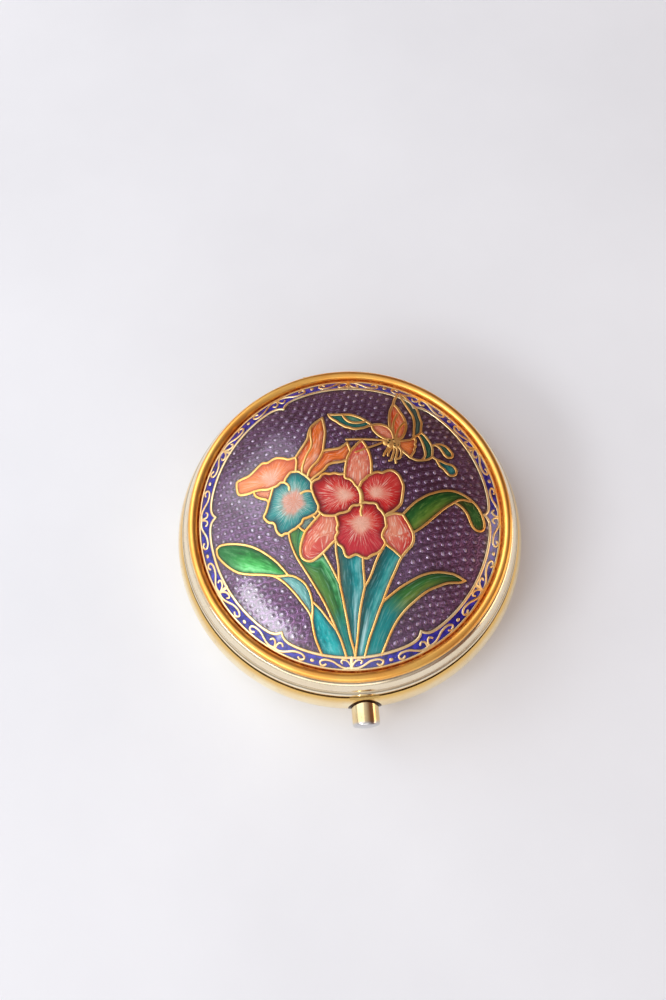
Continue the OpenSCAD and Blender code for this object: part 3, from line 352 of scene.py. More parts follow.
LOOKS = {
    "broad_petal": petal((-10.7, 4.2), 14, [(0, (246, 180, 152)), (0.4, (244, 166, 130)),
        (0.62, (240, 128, 62)), (1, (212, 80, 18))], side=180, streak=0.8, reach=0.85, dark=(150, 56, 12),
        layers=[((238, 128, 52), {"along": [(0.9, 0), (0.97, 0.8)], "fade": [(0.55, 0), (0.75, 1)]})]),
    "lobe": petal((-11.6, 2.5), 3, [(0, (242, 160, 118)), (0.5, (238, 130, 70)), (1, (206, 84, 30))]),
    "tall_petal": blade(["tall_petal_left"], ["-petal_fork", "-tall_petal_right"], 5, ORANGE,
        layers=[((246, 168, 128), {"along": [(0.05, 0.8), (0.5, 0.4), (0.8, 0)],
        "fade": [(0.5, 0), (0.7, 1), (0.9, 0)]})]),
    "right_petal": blade(["-petal_fork", "right_petal_top"], ["-right_petal_low", "-sepal_left"], 4,
        ORANGE),
    "teal_flower": petal((-7.5, 0.9), 13, [(0, (228, 150, 122)), (0.36, (220, 156, 134)),
        (0.54, (92, 158, 148)), (0.7, (10, 140, 136)), (1, (2, 74, 82))], spread=1.1, streak=0.7,
        reach=0.85, dark=(6, 50, 56), pale=(226, 238, 230)),
    "bract": petal((-5.9, -2), 2, [(0, (110, 160, 150)), (1, (60, 96, 88))]),
    "red_left": petal((-0.7, 1.7), 10, CRIMSON, side=180, streak=0.85, reach=0.88, dark=(96, 4, 12),
        layers=[((222, 62, 58), {"along": [(0.82, 0), (0.96, 0.9)],
        "fade": [(0.28, 0), (0.4, 1), (0.62, 1), (0.72, 0)]})]),
    "red_right": petal((3.4, 1.9), 10, CRIMSON, side=70, streak=0.75, reach=0.82, dark=(96, 4, 12),
        layers=[((216, 58, 54), {"along": [(0.6, 0), (0.85, 0.75)], "fade": [(0.3, 0), (0.5, 1)]})]),
    "lip": petal((1.3, -2.2), 11, CRIMSON, side=-100, streak=0.7, reach=0.8, dark=(90, 4, 16),
        layers=[((206, 44, 58), {"along": [(0.55, 0), (0.8, 0.85)], "fade": [(0.3, 0), (0.46, 1)]})]),
    "high_sepal": blade(["sepal_apex_left", "sepal_left", "sepal_left_low"], ["sepal_right"], 7,
        [(0, (214, 76, 54)), (0.25, (238, 136, 106)), (0.7, (240, 142, 112)), (1, (208, 66, 48))],
        streak=0.7, dark=(150, 20, 24), layers=[((226, 70, 62), {"along": [(0.28, 0.9), (0.46, 0)]}),
        ((196, 32, 48), {"along": [(0.14, 1), (0.27, 0)]})]),
    "low_sepal": blade(["low_sepal_side", "low_sepal_tip"], ["lip_left", "-low_sepal_right"], 7,
        [(0, (202, 50, 38)), (0.2, (230, 104, 78)), (0.6, (240, 150, 120)), (1, (226, 112, 84))],
        streak=0.65, dark=(140, 16, 20), layers=[((216, 66, 62), {"along": [(0.62, 0), (0.95, 0.85)]})]),
    "right_sepal": blade(["-lip_right", "-right_sepal_low"], ["right_sepal_side", "right_sepal_tip"], 7,
        [(0, (234, 132, 100)), (0.4, (240, 150, 120)), (0.75, (226, 84, 62)), (1, (194, 30, 28))],
        streak=0.8, dark=(150, 16, 20), layers=[((214, 56, 56), {"along": [(0.5, 0), (0.9, 0.9)]})]),
    "left_leaf": blade(["left_leaf_high"], ["-left_leaf_end", "-left_leaf_under"], 3, [(0, (6, 72, 24)),
        (0.3, (14, 112, 34)), (0.6, (62, 166, 76)), (0.8, (120, 206, 130)), (1, (30, 120, 44))],
        streak=0.12, foil=0.6, dark=(8, 48, 16), pale=(170, 236, 170), layers=[((22, 104, 44),
        {"along": [(0.5, 0), (0.8, 0.9)]})]),
    "pale_stem": blade(["pale_stem_left"], ["pale_stem_right", "stem_join"], 3, [(0, (160, 206, 200)),
        (0.4, (120, 184, 178)), (1, (60, 132, 126))], foil=0.6, dark=(24, 70, 70), pale=(214, 240, 236)),
    "low_leaf": leaf(["low_leaf_left"], ["low_leaf_right", "mid_leaf_foot"], 3, [(0, (2, 108, 112)),
        (0.35, (4, 150, 152)), (0.6, (40, 176, 176)), (1, (2, 112, 116))], dark=(4, 54, 58),
        pale=(170, 232, 232)),
    "mid_leaf": leaf(["mid_leaf_left", "mid_leaf_foot"],
        ["low_sepal_tip", "mid_leaf_right", "leaf_and_stem"], 4, [(0, (118, 150, 66)),
        (0.3, (84, 138, 60)), (0.6, (28, 104, 48)), (0.78, (70, 170, 96)), (0.9, (132, 214, 152)),
        (1, (40, 120, 64))], dark=(12, 42, 20), pale=(190, 240, 200), layers=[((14, 138, 134),
        {"along": [(0.66, 0), (0.82, 0.9)]})]),
    # The stem's near-white layer is a painted highlight.
    "stem": leaf(["stem_left", "leaf_and_stem"], ["stem_right", "stem_seam"], 4, [(0, (104, 124, 108)),
        (0.2, (50, 112, 106)), (0.42, (2, 112, 114)), (0.66, (26, 160, 162)), (0.86, (120, 204, 202)),
        (1, (76, 150, 144))], dark=(6, 58, 58), pale=(196, 240, 240), layers=[((206, 246, 246),
        {"along": [(0.35, 0), (0.6, 0.8), (0.85, 0.8), (0.95, 0)],
        "fade": [(0.5, 0), (0.66, 1), (0.8, 0)]})]),
    # The right stem's near-white layer is a painted highlight.
    "right_stem": leaf(["right_stem_left", "stem_seam"], ["right_stem_right", "stem_and_leaf"], 4,
        [(0, (58, 100, 92)), (0.25, (8, 98, 98)), (0.5, (6, 134, 136)), (0.75, (70, 184, 180)),
        (1, (112, 178, 168))], dark=(8, 54, 54), pale=(196, 240, 240), layers=[((206, 246, 246),
        {"along": [(0.55, 0), (0.75, 0.8), (0.92, 0.8), (1.0, 0)],
        "fade": [(0.3, 0), (0.5, 1), (0.68, 0)]})]),
    "low_right_leaf": leaf(["-stem_and_leaf", "low_right_leaf_top"], ["-low_right_leaf_low"], 4,
        [(0, (34, 100, 40)), (0.4, (58, 128, 52)), (0.75, (122, 150, 62)), (1, (96, 120, 50))],
        dark=(18, 52, 24), pale=(186, 232, 210), layers=[((14, 140, 140),
        {"along": [(0.3, 1), (0.48, 0)]}), ((28, 84, 36), {"along": [(0.68, 0), (0.9, 0.9)]})]),
    "high_leaf": leaf(["high_leaf_top"], ["high_leaf_low", "high_leaf_fold"], 3, [(0, (26, 86, 38)),
        (0.35, (40, 110, 44)), (0.7, (110, 156, 58)), (1, (140, 134, 56))], dark=(20, 50, 20),
        pale=(170, 214, 120), layers=[((30, 84, 40), {"along": [(0.5, 0), (0.85, 0.85)]})]),
    "leaf_fold": petal((17.1, -0.4), 3, [(0, (46, 108, 50)), (0.6, (40, 96, 44)), (1, (90, 90, 40))],
        side=-60, foil=0.6, dark=(20, 44, 20), pale=(150, 196, 110)),
    "far_wing": blade(["far_wing_top", "far_wing_arc"], ["far_wing_low"], 3, [(0, (40, 130, 108)),
        (0.5, (30, 146, 140)), (1, (36, 110, 84))], foil=0.6, dark=(16, 50, 44), pale=(176, 226, 216)),
    "far_wing_eye": petal((0.6, 13.5), 3, [(0, (110, 170, 140)), (1, (40, 120, 92))], dark=(20, 54, 44),
        pale=(180, 226, 200)),
    "pink_wing": blade(["pink_wing_top"], ["pink_wing_low"], 4, [(0, (232, 104, 70)),
        (0.5, (246, 156, 122)), (1, (226, 92, 60))], streak=0.55, dark=(150, 50, 30)),
    "high_wing": blade(["-high_wing_left"], ["-high_wing_right"], 4, [(0, (230, 80, 26)),
        (0.4, (240, 96, 40)), (0.7, (246, 140, 90)), (1, (224, 78, 30))], dark=(140, 40, 16)),
    "crescent": blade(["crescent_inside"], ["crescent_outside"], 3, [(0, (52, 76, 64)),
        (0.5, (74, 106, 96)), (1, (44, 70, 60))], dark=(26, 32, 28), pale=(140, 170, 160)),
    "tail": blade(["tail_inside"], ["tail_outside", "tail_low"], 3, [(0, (34, 92, 74)),
        (0.5, (52, 128, 104)), (1, (32, 86, 70))], foil=0.6, dark=(18, 44, 36), pale=(150, 206, 180)),
    "fan": petal((7.0, 9.5), 9, [(0, (228, 104, 36)), (0.6, (244, 130, 52)), (1, (216, 92, 28))],
        spread=0.9, dark=(130, 50, 16)),
    "high_drop": petal((13.7, 8.8), 2, [(0, (60, 120, 98)), (1, (34, 80, 66))], dark=(18, 40, 34),
        pale=(150, 200, 180)),
    "low_drop": petal((14.0, 6.0), 2, [(0, (40, 150, 150)), (1, (24, 92, 88))], dark=(10, 50, 50),
        pale=(160, 220, 216)),
}

# Pieces of enamel: the CAD node each stands for, its material slot, and its cells.
ENAMELS = {
    "red_flower": ("red_flower_enamel", "red_enamel", ["red_left", "red_right", "lip"]),
    "pink_sepals": ("pink_sepal_enamel", "pink_enamel", ["high_sepal", "low_sepal", "right_sepal"]),
    "orange_petals": ("orange_petal_enamel", "orange_enamel", ["broad_petal", "lobe", "tall_petal",
        "right_petal"]),
    "turquoise_flower": ("teal_flower_enamel", "turquoise_enamel", ["teal_flower", "bract"]),
    "leaves": ("leaf_enamel", "green_enamel", ["left_leaf", "mid_leaf", "low_right_leaf", "high_leaf",
        "leaf_fold"]),
    "stems": ("stem_enamel", "teal_enamel", ["pale_stem", "low_leaf", "stem", "right_stem"]),
    "butterfly": ("butterfly_enamel", "butterfly_enamel", ["far_wing", "far_wing_eye", "pink_wing",
        "high_wing", "crescent", "tail", "fan", "high_drop", "low_drop"]),
}

# The border's scrollwork: (degrees from the middle of a unit, radius) points, drawn once and mirrored.
SCROLL = [(1.2, 20.75), (3.2, 20.65), (5.2, 20.35), (7, 20.05), (9, 19.93), (10.8, 19.98), (11.9, 20.25),
          (11.7, 20.55), (10.6, 20.68), (9.7, 20.5)]
BAY_HOOK = [(0, 20.6), (0.9, 20.1), (2, 19.8), (3.4, 19.75), (4, 19.95), (3.6, 20.15)]
CUSP_HOOK = [(0.3, 20.6), (0.4, 20.2), (1, 19.85), (2, 19.78), (2.7, 20)]
# The dots between the units: radius, degrees from the unit's middle, and distance from the lid's middle.
DOT_R = 0.2
DOT_TURN = 15
DOT_RING = 20.35


def polar(points, turn, mirror=1):
    """Border points as picture points."""
    angle = np.radians([turn + mirror * a for a, _ in points])
    r = np.array([p[1] for p in points])
    return np.stack([r * np.cos(angle), r * np.sin(angle)], 1)


def border_lines():
    """Every wire of the border with its width."""
    lines = [(ring_curve(bay_edge), 0.34), (ring_curve(lambda a: OUTER_WIRE_R + 0 * a), 0.28)]
    for unit in range(12):
        turn = 30 * unit
        hook = BAY_HOOK if unit % 2 else CUSP_HOOK
        for mirror in (1, -1):
            lines.append((smooth_curve(polar(SCROLL, turn, mirror), 0.1), 0.28))
            lines.append((smooth_curve(polar(hook, turn, mirror), 0.08), 0.26))
        lines.append((smooth_curve(polar([(-2.4, 20.8), (0, 20.72), (2.4, 20.8)], turn)), 0.36))
        if unit % 2:
            lines.append((smooth_curve(polar([(0, 20.8), (0, 20.1), (0, 19.5)], turn)), 0.5))
        dot = polar([(DOT_TURN - 0.2, DOT_RING), (DOT_TURN + 0.2, DOT_RING)], turn)
        lines.append((dot, 2 * DOT_R))
    return lines

# ---------------------------------------------------------------- meshes

def shade(mesh, sharp=35):
    """Smooth shading; edges sharper than `sharp` degrees stay crisp."""
    mesh.shade_smooth()
    mesh.set_sharp_from_angle(angle=math.radians(sharp))


def add_mesh(name, points, faces, values=None, sharp=35):
    """A smooth-shaded object; values are its float attributes, by name."""
    mesh = bpy.data.meshes.new(name)
    mesh.from_pydata((np.asarray(points, float) * MM).tolist(), [], [list(map(int, f)) for f in faces])
    for key, numbers in (values or {}).items():
        attribute = mesh.attributes.new(key, "FLOAT", "POINT")
        attribute.data.foreach_set("value", np.asarray(numbers, np.float32))
    shade(mesh, sharp)
    piece = bpy.data.objects.new(name, mesh)
    bpy.context.scene.collection.objects.link(piece)
    return piece


def settle(piece, body, materials, nodes=()):
    """Gives a piece its materials and its place in the frame."""
    for material in materials:
        piece.data.materials.append(material)
    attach(piece, body)
    if nodes:
        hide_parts(*nodes)


def weld(piece, distance=0.002):
    """Joins points that lie on each other and makes the faces point outwards."""
    work = bmesh.new()
    work.from_mesh(piece.data)
    bmesh.ops.remove_doubles(work, verts=work.verts, dist=distance * MM)
    bmesh.ops.recalc_face_normals(work, faces=work.faces)
    work.to_mesh(piece.data)
    work.free()
    shade(piece.data)
    return piece


def grid_faces(rows, columns, round_rows=False, round_columns=True):
    """Squares between the points of a grid, row by row; a round side joins its last points to its first."""
    return [(i * columns + j, i * columns + (j + 1) % columns,
             (i + 1) % rows * columns + (j + 1) % columns, (i + 1) % rows * columns + j)
            for i in range(rows if round_rows else rows - 1)
            for j in range(columns if round_columns else columns - 1)]


def turned_over(faces, start=0):
    """Squares that face the other way, for points whose numbers begin at start."""
    return [(start + a, start + d, start + c, start + b) for a, b, c, d in faces]


def full_circle(steps):
    """Even angles once round, in radians."""
    return np.linspace(0, 2 * math.pi, steps, endpoint=False)


def arc(cx, cz, rx, rz, start, end, steps):
    """Points along an ellipse's arc, from one angle to another in degrees."""
    return [(cx + rx * math.cos(math.radians(a)), cz + rz * math.sin(math.radians(a)))
            for a in np.linspace(start, end, steps + 1)]


def around_z(r, z, angle):
    """A point of the box at a radius, a height and an angle."""
    return r * np.cos(angle), r * np.sin(angle), z


def around_button(r, depth, angle):
    """A point of the button at a radius, a depth behind its face and an angle."""
    return r * np.cos(angle), BUTTON_FRONT_Y + depth, BUTTON_Z + r * np.sin(angle)


def lathe(name, profile, segments, place=around_z):
    """Turns a closed outline of (radius, height) points into a ring or a solid."""
    points = [place(r, z, a) for r, z in profile for a in full_circle(segments)]
    return weld(add_mesh(name, points, grid_faces(len(profile), segments, round_rows=True)))


def ring_angles(step, cuts):
    """Even angles in degrees round the ring, with extra ones where openings begin and end."""
    even = [a for a in np.arange(-180, 180, step) if all(abs(a - c) > 0.3 * step for c in cuts)]
    return np.radians(sorted(even + list(cuts)))


def pressed_sheet(name, outside, inside, angles, is_open):
    """A sheet of metal between two matching outlines, turned round Z and left open where is_open says."""
    rows, columns = len(outside), len(angles)
    points = [around_z(r, z, a) for side in (outside, inside) for r, z in side for a in angles]
    count = rows * columns
    solid = np.zeros((rows - 1, columns), bool)
    for i in range(rows - 1):
        r, z = (np.array(outside[i]) + np.array(outside[i + 1])) / 2
        for j in range(columns):
            a = angles[j] + ((angles[(j + 1) % columns] - angles[j]) % (2 * math.pi)) / 2
            solid[i, j] = not is_open(r, z, a)
    faces = []
    for i, j in zip(*np.nonzero(solid)):
        k = (j + 1) % columns
        low, high = i * columns, (i + 1) * columns
        faces.append((low + j, low + k, high + k, high + j))
        faces.append((count + low + j, count + high + j, count + high + k, count + low + k))
        edges = [(i == 0 or not solid[i - 1, j], low + j, low + k),
                 (i == rows - 2 or not solid[i + 1, j], high + k, high + j),
                 (not solid[i, j - 1], high + j, low + j),
                 (not solid[i, k], low + k, high + k)]
        faces += [(b, a, count + a, count + b) for bare, a, b in edges if bare]
    return weld(add_mesh(name, points, faces))


# ---------------------------------------------------------------- the dome

def dome_height(r):
    """Height of the dome's surface at a radius."""
    return MEDAL_Z + DOME_H * (1 - (np.minimum(r, MEDAL_R + 1) / MEDAL_R) ** DOME_POWER)


def on_dome(x, y, lift):
    """Picture points at a height above the dome, as points of the box."""
    x, y, lift = np.broadcast_arrays(np.asarray(x, float), np.asarray(y, float), np.asarray(lift, float))
    r = np.maximum(np.hypot(x, y), 1e-6)
    slope = -DOME_H * DOME_POWER / MEDAL_R * (r / MEDAL_R) ** (DOME_POWER - 1)
    tilt = 1 / np.sqrt(1 + slope ** 2)
    reach = 1 - slope * tilt * lift / r
    cos, sin = math.cos(PICTURE_TURN), math.sin(PICTURE_TURN)
    turned_x, turned_y = x * cos - y * sin, x * sin + y * cos
    return np.stack([turned_x * reach, turned_y * reach, dome_height(r) + tilt * lift], -1)


def smooth_curve(points, step=0.14):
    """A Catmull-Rom curve through given points, as points about a step apart."""
    given = [np.array(p, float) for p in points]
    given = [2 * given[0] - given[1], *given, 2 * given[-1] - given[-2]]
    curve = []
    for a, b, c, d in zip(given, given[1:], given[2:], given[3:]):
        for t in np.linspace(0, 1, max(2, math.ceil(np.linalg.norm(c - b) / step)), endpoint=False):
            curve.append(0.5 * (2 * b + t * (c - a) + t * t * (2 * a - 5 * b + 4 * c - d)
                                + t ** 3 * (3 * b - a - 3 * c + d)))
    return np.array(curve + [given[-2]])


# Across (in wire widths) and height of a soldered wire's section, half round and worn a little flat.
WIRE_SECTION = [(-0.5, -0.13), (-0.5, -0.015), (-0.42, 0.02), (-0.24, 0.042), (0, 0.05),
                (0.24, 0.042), (0.42, 0.02), (0.5, -0.015), (0.5, -0.13)]
# Points of the section below this stay at their depth where the wire's end rounds off.
WIRE_FOOT = -0.1
# A wire's rounded end: how far out each row is, in half widths, and how wide, as a share of the width.
WIRE_END = [(0.97, 0.24), (0.8, 0.6), (0.5, 0.866)]


def wire_mesh(name, lines):
    """Half-round wires with rounded ends along (curve, width) pairs, all in one mesh."""
    points, faces = [], []
    for line, width in lines:
        ends = [line[0] - line[1], line[-1] - line[-2]]
        ends = [e / np.linalg.norm(e) * width / 2 for e in ends]
        rows = ([(line[0] + ends[0] * d, s) for d, s in WIRE_END] + [(p, 1) for p in line]
                + [(line[-1] + ends[1] * d, s) for d, s in reversed(WIRE_END)])
        path = np.array([p for p, _ in rows])
        scale = np.array([s for _, s in rows])
        along = np.gradient(path, axis=0)
        along /= np.maximum(np.linalg.norm(along, axis=1, keepdims=True), 1e-9)
        side = np.stack([-along[:, 1], along[:, 0]], 1)
        start, n = len(points), len(WIRE_SECTION)
        for middle, out, share in zip(path, side, scale):
            for across, height in WIRE_SECTION:
                x, y = middle + out * across * width * share
                points.append((x, y, height if height < WIRE_FOOT else height * (0.5 + 0.5 * share)))
        faces += turned_over(grid_faces(len(path), n), start)
        faces.append(range(start, start + n))
        faces.append(range(start + len(path) * n - 1, start + (len(path) - 1) * n - 1, -1))
    return add_mesh(name, on_dome(*np.array(points).T), faces, sharp=50)


def bay_edge(angle):
    """Radius of the border's inner wire at an angle in degrees: six bays that meet in cusps."""
    from_cusp = np.minimum(np.mod(angle, 60), 60 - np.mod(angle, 60))
    return BAY_R - CUSP_DEPTH * np.exp(-from_cusp / CUSP_SPREAD)


def ring_curve(radius, count=720):
    """A closed curve round the dome; radius is a function of the angle in degrees."""
    a = np.linspace(0, 360, count + 1)
    r = radius(a)
    return np.stack([r * np.cos(np.radians(a)), r * np.sin(np.radians(a))], 1)


# ---------------------------------------------------------------- cells of enamel

def cell_outline(loop):
    """The closed outline of a cell from the wires round it; a minus sign walks a wire backwards."""
    outline = []
    for wire in loop:
        curve = smooth_curve(WIRES[wire.lstrip("-")], 0.2)
        outline += list(curve[::-1] if wire[0] == "-" else curve)
    closest = 0.05
    kept = [outline[0]]
    for p in outline[1:]:
        if np.linalg.norm(p - kept[-1]) > closest:
            kept.append(p)
    if np.linalg.norm(kept[0] - kept[-1]) < closest:
        kept.pop()
    return np.array(kept)


def distance_to(points, line, closed=False):
    """Distance from each point to a line, and how far along the line the nearest place is, 0 to 1."""
    starts = line if closed else line[:-1]
    ends = np.roll(line, -1, 0) if closed else line[1:]
    span = ends - starts
    length = np.linalg.norm(span, axis=1)
    t = np.einsum("pki,ki->pk", points[:, None] - starts, span) / np.maximum(length ** 2, 1e-12)
    t = np.clip(t, 0, 1)
    gap = np.linalg.norm(points[:, None] - starts - t[..., None] * span, axis=2)
    best = gap.argmin(1)
    rows = np.arange(len(points))
    done = np.concatenate([[0], np.cumsum(length)])
    return gap[rows, best], (done[best] + t[rows, best] * length[best]) / done[-1]


def inside(points, outline):
    """Which points lie inside a closed outline."""
    x, y = points[:, 0, None], points[:, 1, None]
    x0, y0 = outline.T
    x1, y1 = np.roll(outline, -1, 0).T
    crosses = ((y0 > y) != (y1 > y)) & (x < (x1 - x0) * (y - y0) / np.where(y1 == y0, 1e-12, y1 - y0) + x0)
    return crosses.sum(1) % 2 == 1


def fill_outline(outline, spacing=0.27):
    """Points and triangles that fill an outline with an even grid."""
    row_gap = 0.866 * spacing
    low, high = outline.min(0), outline.max(0)
    rows = []
    for i, y in enumerate(np.arange(low[1], high[1], row_gap)):
        x = np.arange(low[0] + spacing / 2 * (i % 2), high[0], spacing)
        rows.append(np.stack([x, np.full_like(x, y)], 1))
    grid = np.vstack(rows)
    grid = grid[inside(grid, outline)]
    grid = grid[distance_to(grid, outline, True)[0] > 0.55 * spacing]
    points = [Vector(p) for p in np.vstack([outline, grid])]
    filled = geometry.delaunay_2d_cdt(points, [], [list(range(len(outline)))], 1, 1e-5)
    return np.array([list(p) for p in filled[0]]), filled[2]


# The streaks are a noise read at (flow_x, flow_y, flow_z), which change quickly across a streak and
# slowly along it.

def petal_flow(points, edge, centre, streaks, side, spread):
    """A petal's values at its points: fade from the centre to the rim, along, and where the streaks run."""
    x, y = (points - np.array(centre)).T
    r = np.maximum(np.hypot(x, y), 1e-6)
    out = r / (r + edge * spread + 1e-6)
    turn = math.radians(side)
    return {"fade": out, "along": 0.5 + 0.5 * (x * math.cos(turn) + y * math.sin(turn)) / r,
            "flow_x": streaks * x / r, "flow_y": streaks * y / r, "flow_z": 1.2 * out}


def blade_flow(points, left, right, streaks):
    """A blade's values at its points: fade from left to right, along, and where the streaks run."""
    sides = []
    for wires in (left, right):
        parts = [smooth_curve(WIRES[w.lstrip("-")], 0.2) for w in wires]
        sides.append(np.vstack([p[::-1] if w[0] == "-" else p for p, w in zip(parts, wires)]))
    from_left, along_left = distance_to(points, sides[0])
    from_right, along_right = distance_to(points, sides[1])
    across = from_left / np.maximum(from_left + from_right, 1e-6)
    along = along_left * (1 - across) + along_right * across
    return {"fade": across, "along": along, "flow_x": streaks * across, "flow_y": 2.2 * along,
            "flow_z": np.zeros(len(points))}


def cells_mesh(name, cells):
    """Several enamel cells as one mesh, each with its own material slot."""
    points, faces, slots, values = [], [], [], {}
    for number, cell in enumerate(cells):
        outline = cell_outline(CELLS[cell])
        flat, triangles = fill_outline(outline)
        edge = distance_to(flat, outline, True)[0]
        flow = LOOKS[cell]["flow"]
        found = petal_flow(flat, edge, **flow) if "centre" in flow else blade_flow(flat, **flow)
        found["edge"] = edge
        for key, numbers in found.items():
            values.setdefault(key, []).extend(numbers)
        # The glaze climbs to the wires round it and swells a little in the middle of a wide cell.
        lift = -0.02 - 0.035 * (1 - np.exp(-edge / 0.22)) + 0.03 * np.clip(edge / 1.6, 0, 1)
        start = len(points)
        points += list(on_dome(*flat.T, lift))
        faces += [[start + k for k in t] for t in triangles]
        slots += [number] * len(triangles)
    piece = add_mesh(name, points, faces, values, sharp=180)
    piece.data.polygons.foreach_set("material_index", np.array(slots, np.int32))
    return piece


def dimple_field(x, y):
    """Distance to the foil's nearest dimple on a wandering hexagonal grid, and that dimple's tone for its
    painted glint.
    """
    pitch, turn = 1.2, math.radians(14)
    cos, sin = math.cos(turn), math.sin(turn)
    u = x * cos + y * sin + 0.55 * np.sin(0.21 * y + 0.6) + 0.3 * np.sin(0.45 * x + 1.1)
    v = -x * sin + y * cos + 0.5 * np.sin(0.24 * x + 2.0) + 0.25 * np.sin(0.52 * y)
    nearest, tone = np.full(x.shape, 9.0), np.zeros(x.shape)
    for shift in (0, 0.5):
        i = np.round(u / pitch - shift)
        j = np.round(v / (pitch * math.sqrt(3)) - shift)
        wander = 0.09 * np.stack([np.sin(12.9 * i + 78.2 * j + shift), np.cos(39.3 * i + 11.1 * j + shift)])
        du = u - (i + shift) * pitch - wander[0]
        dv = v - (j + shift) * pitch * math.sqrt(3) - wander[1]
        gap = np.hypot(du, dv)
        tone = np.where(gap < nearest, np.mod(np.sin(127.1 * i + 311.7 * j + 40 * shift) * 437.5, 1), tone)
        nearest = np.minimum(nearest, gap)
    return nearest, tone


def wire_distance(points, lines):
    """Distance from picture points to the nearest wire's centre line."""
    places = np.vstack([line for line, _ in lines])
    tree = kdtree.KDTree(len(places))
    for number, (x, y) in enumerate(places):
        tree.insert((x, y, 0), number)
    tree.balance()
    return [tree.find((x, y, 0))[2] for x, y in points]


def ground_mesh(name, lines, size=270):
    """The domed ground: an even grid of squares bent to a disc, with the foil's dimples pressed in."""
    a, b = np.meshgrid(np.linspace(-1, 1, size), np.linspace(-1, 1, size))
    wide = np.abs(a) > np.abs(b)
    r = np.where(wide, a, b)
    ratio = np.where(wide, b, a) / np.where(r == 0, 1, r)
    angle = np.where(wide, math.pi / 4 * ratio, math.pi / 2 - math.pi / 4 * ratio)
    reach = BAY_R + 0.1
    x, y = reach * r * np.cos(angle), reach * r * np.sin(angle)
    near, tone = dimple_field(x, y)
    # Each dimple is a low mound in a shallow moat.
    lift = -0.06 + 0.014 * np.exp(-(near / 0.2) ** 2) - 0.006 * np.exp(-((near - 0.42) / 0.13) ** 2)
    points = on_dome(x, y, lift).reshape(-1, 3)
    faces = grid_faces(size, size, round_columns=False)
    values = {"dimple": near.ravel(), "tone": tone.ravel(),
              "edge": wire_distance(np.stack([x.ravel(), y.ravel()], 1), lines)}
    return add_mesh(name, points, faces, values, sharp=180)


def border_mesh(name, columns=720, rows=8):
    """The cobalt ring between the bays and the outer wire."""
    angle = np.linspace(0, 360, columns, endpoint=False)
    turn = np.radians(angle)
    share = np.linspace(0, 1, rows)[:, None]
    r = (1 - share) * (bay_edge(angle) - 0.05) + share * (OUTER_WIRE_R + 0.08)
    lift = -0.03 - 0.02 * np.sin(math.pi * share)
    points = on_dome(r * np.cos(turn), r * np.sin(turn), lift).reshape(-1, 3)
    edge = np.minimum(r - bay_edge(angle), OUTER_WIRE_R - r)
    return add_mesh(name, points, turned_over(grid_faces(rows, columns)), {"edge": edge.ravel()}, sharp=180)



# ---------------------------------------------------------------- materials

def rgb(red, green, blue):
    """A screen colour, 0 to 255, as the linear colour that the shaders work in."""
    def linear(c):
        c /= 255
        return c / 12.92 if c <= 0.04045 else ((c + 0.055) / 1.055) ** 2.4
    return linear(red), linear(green), linear(blue), 1


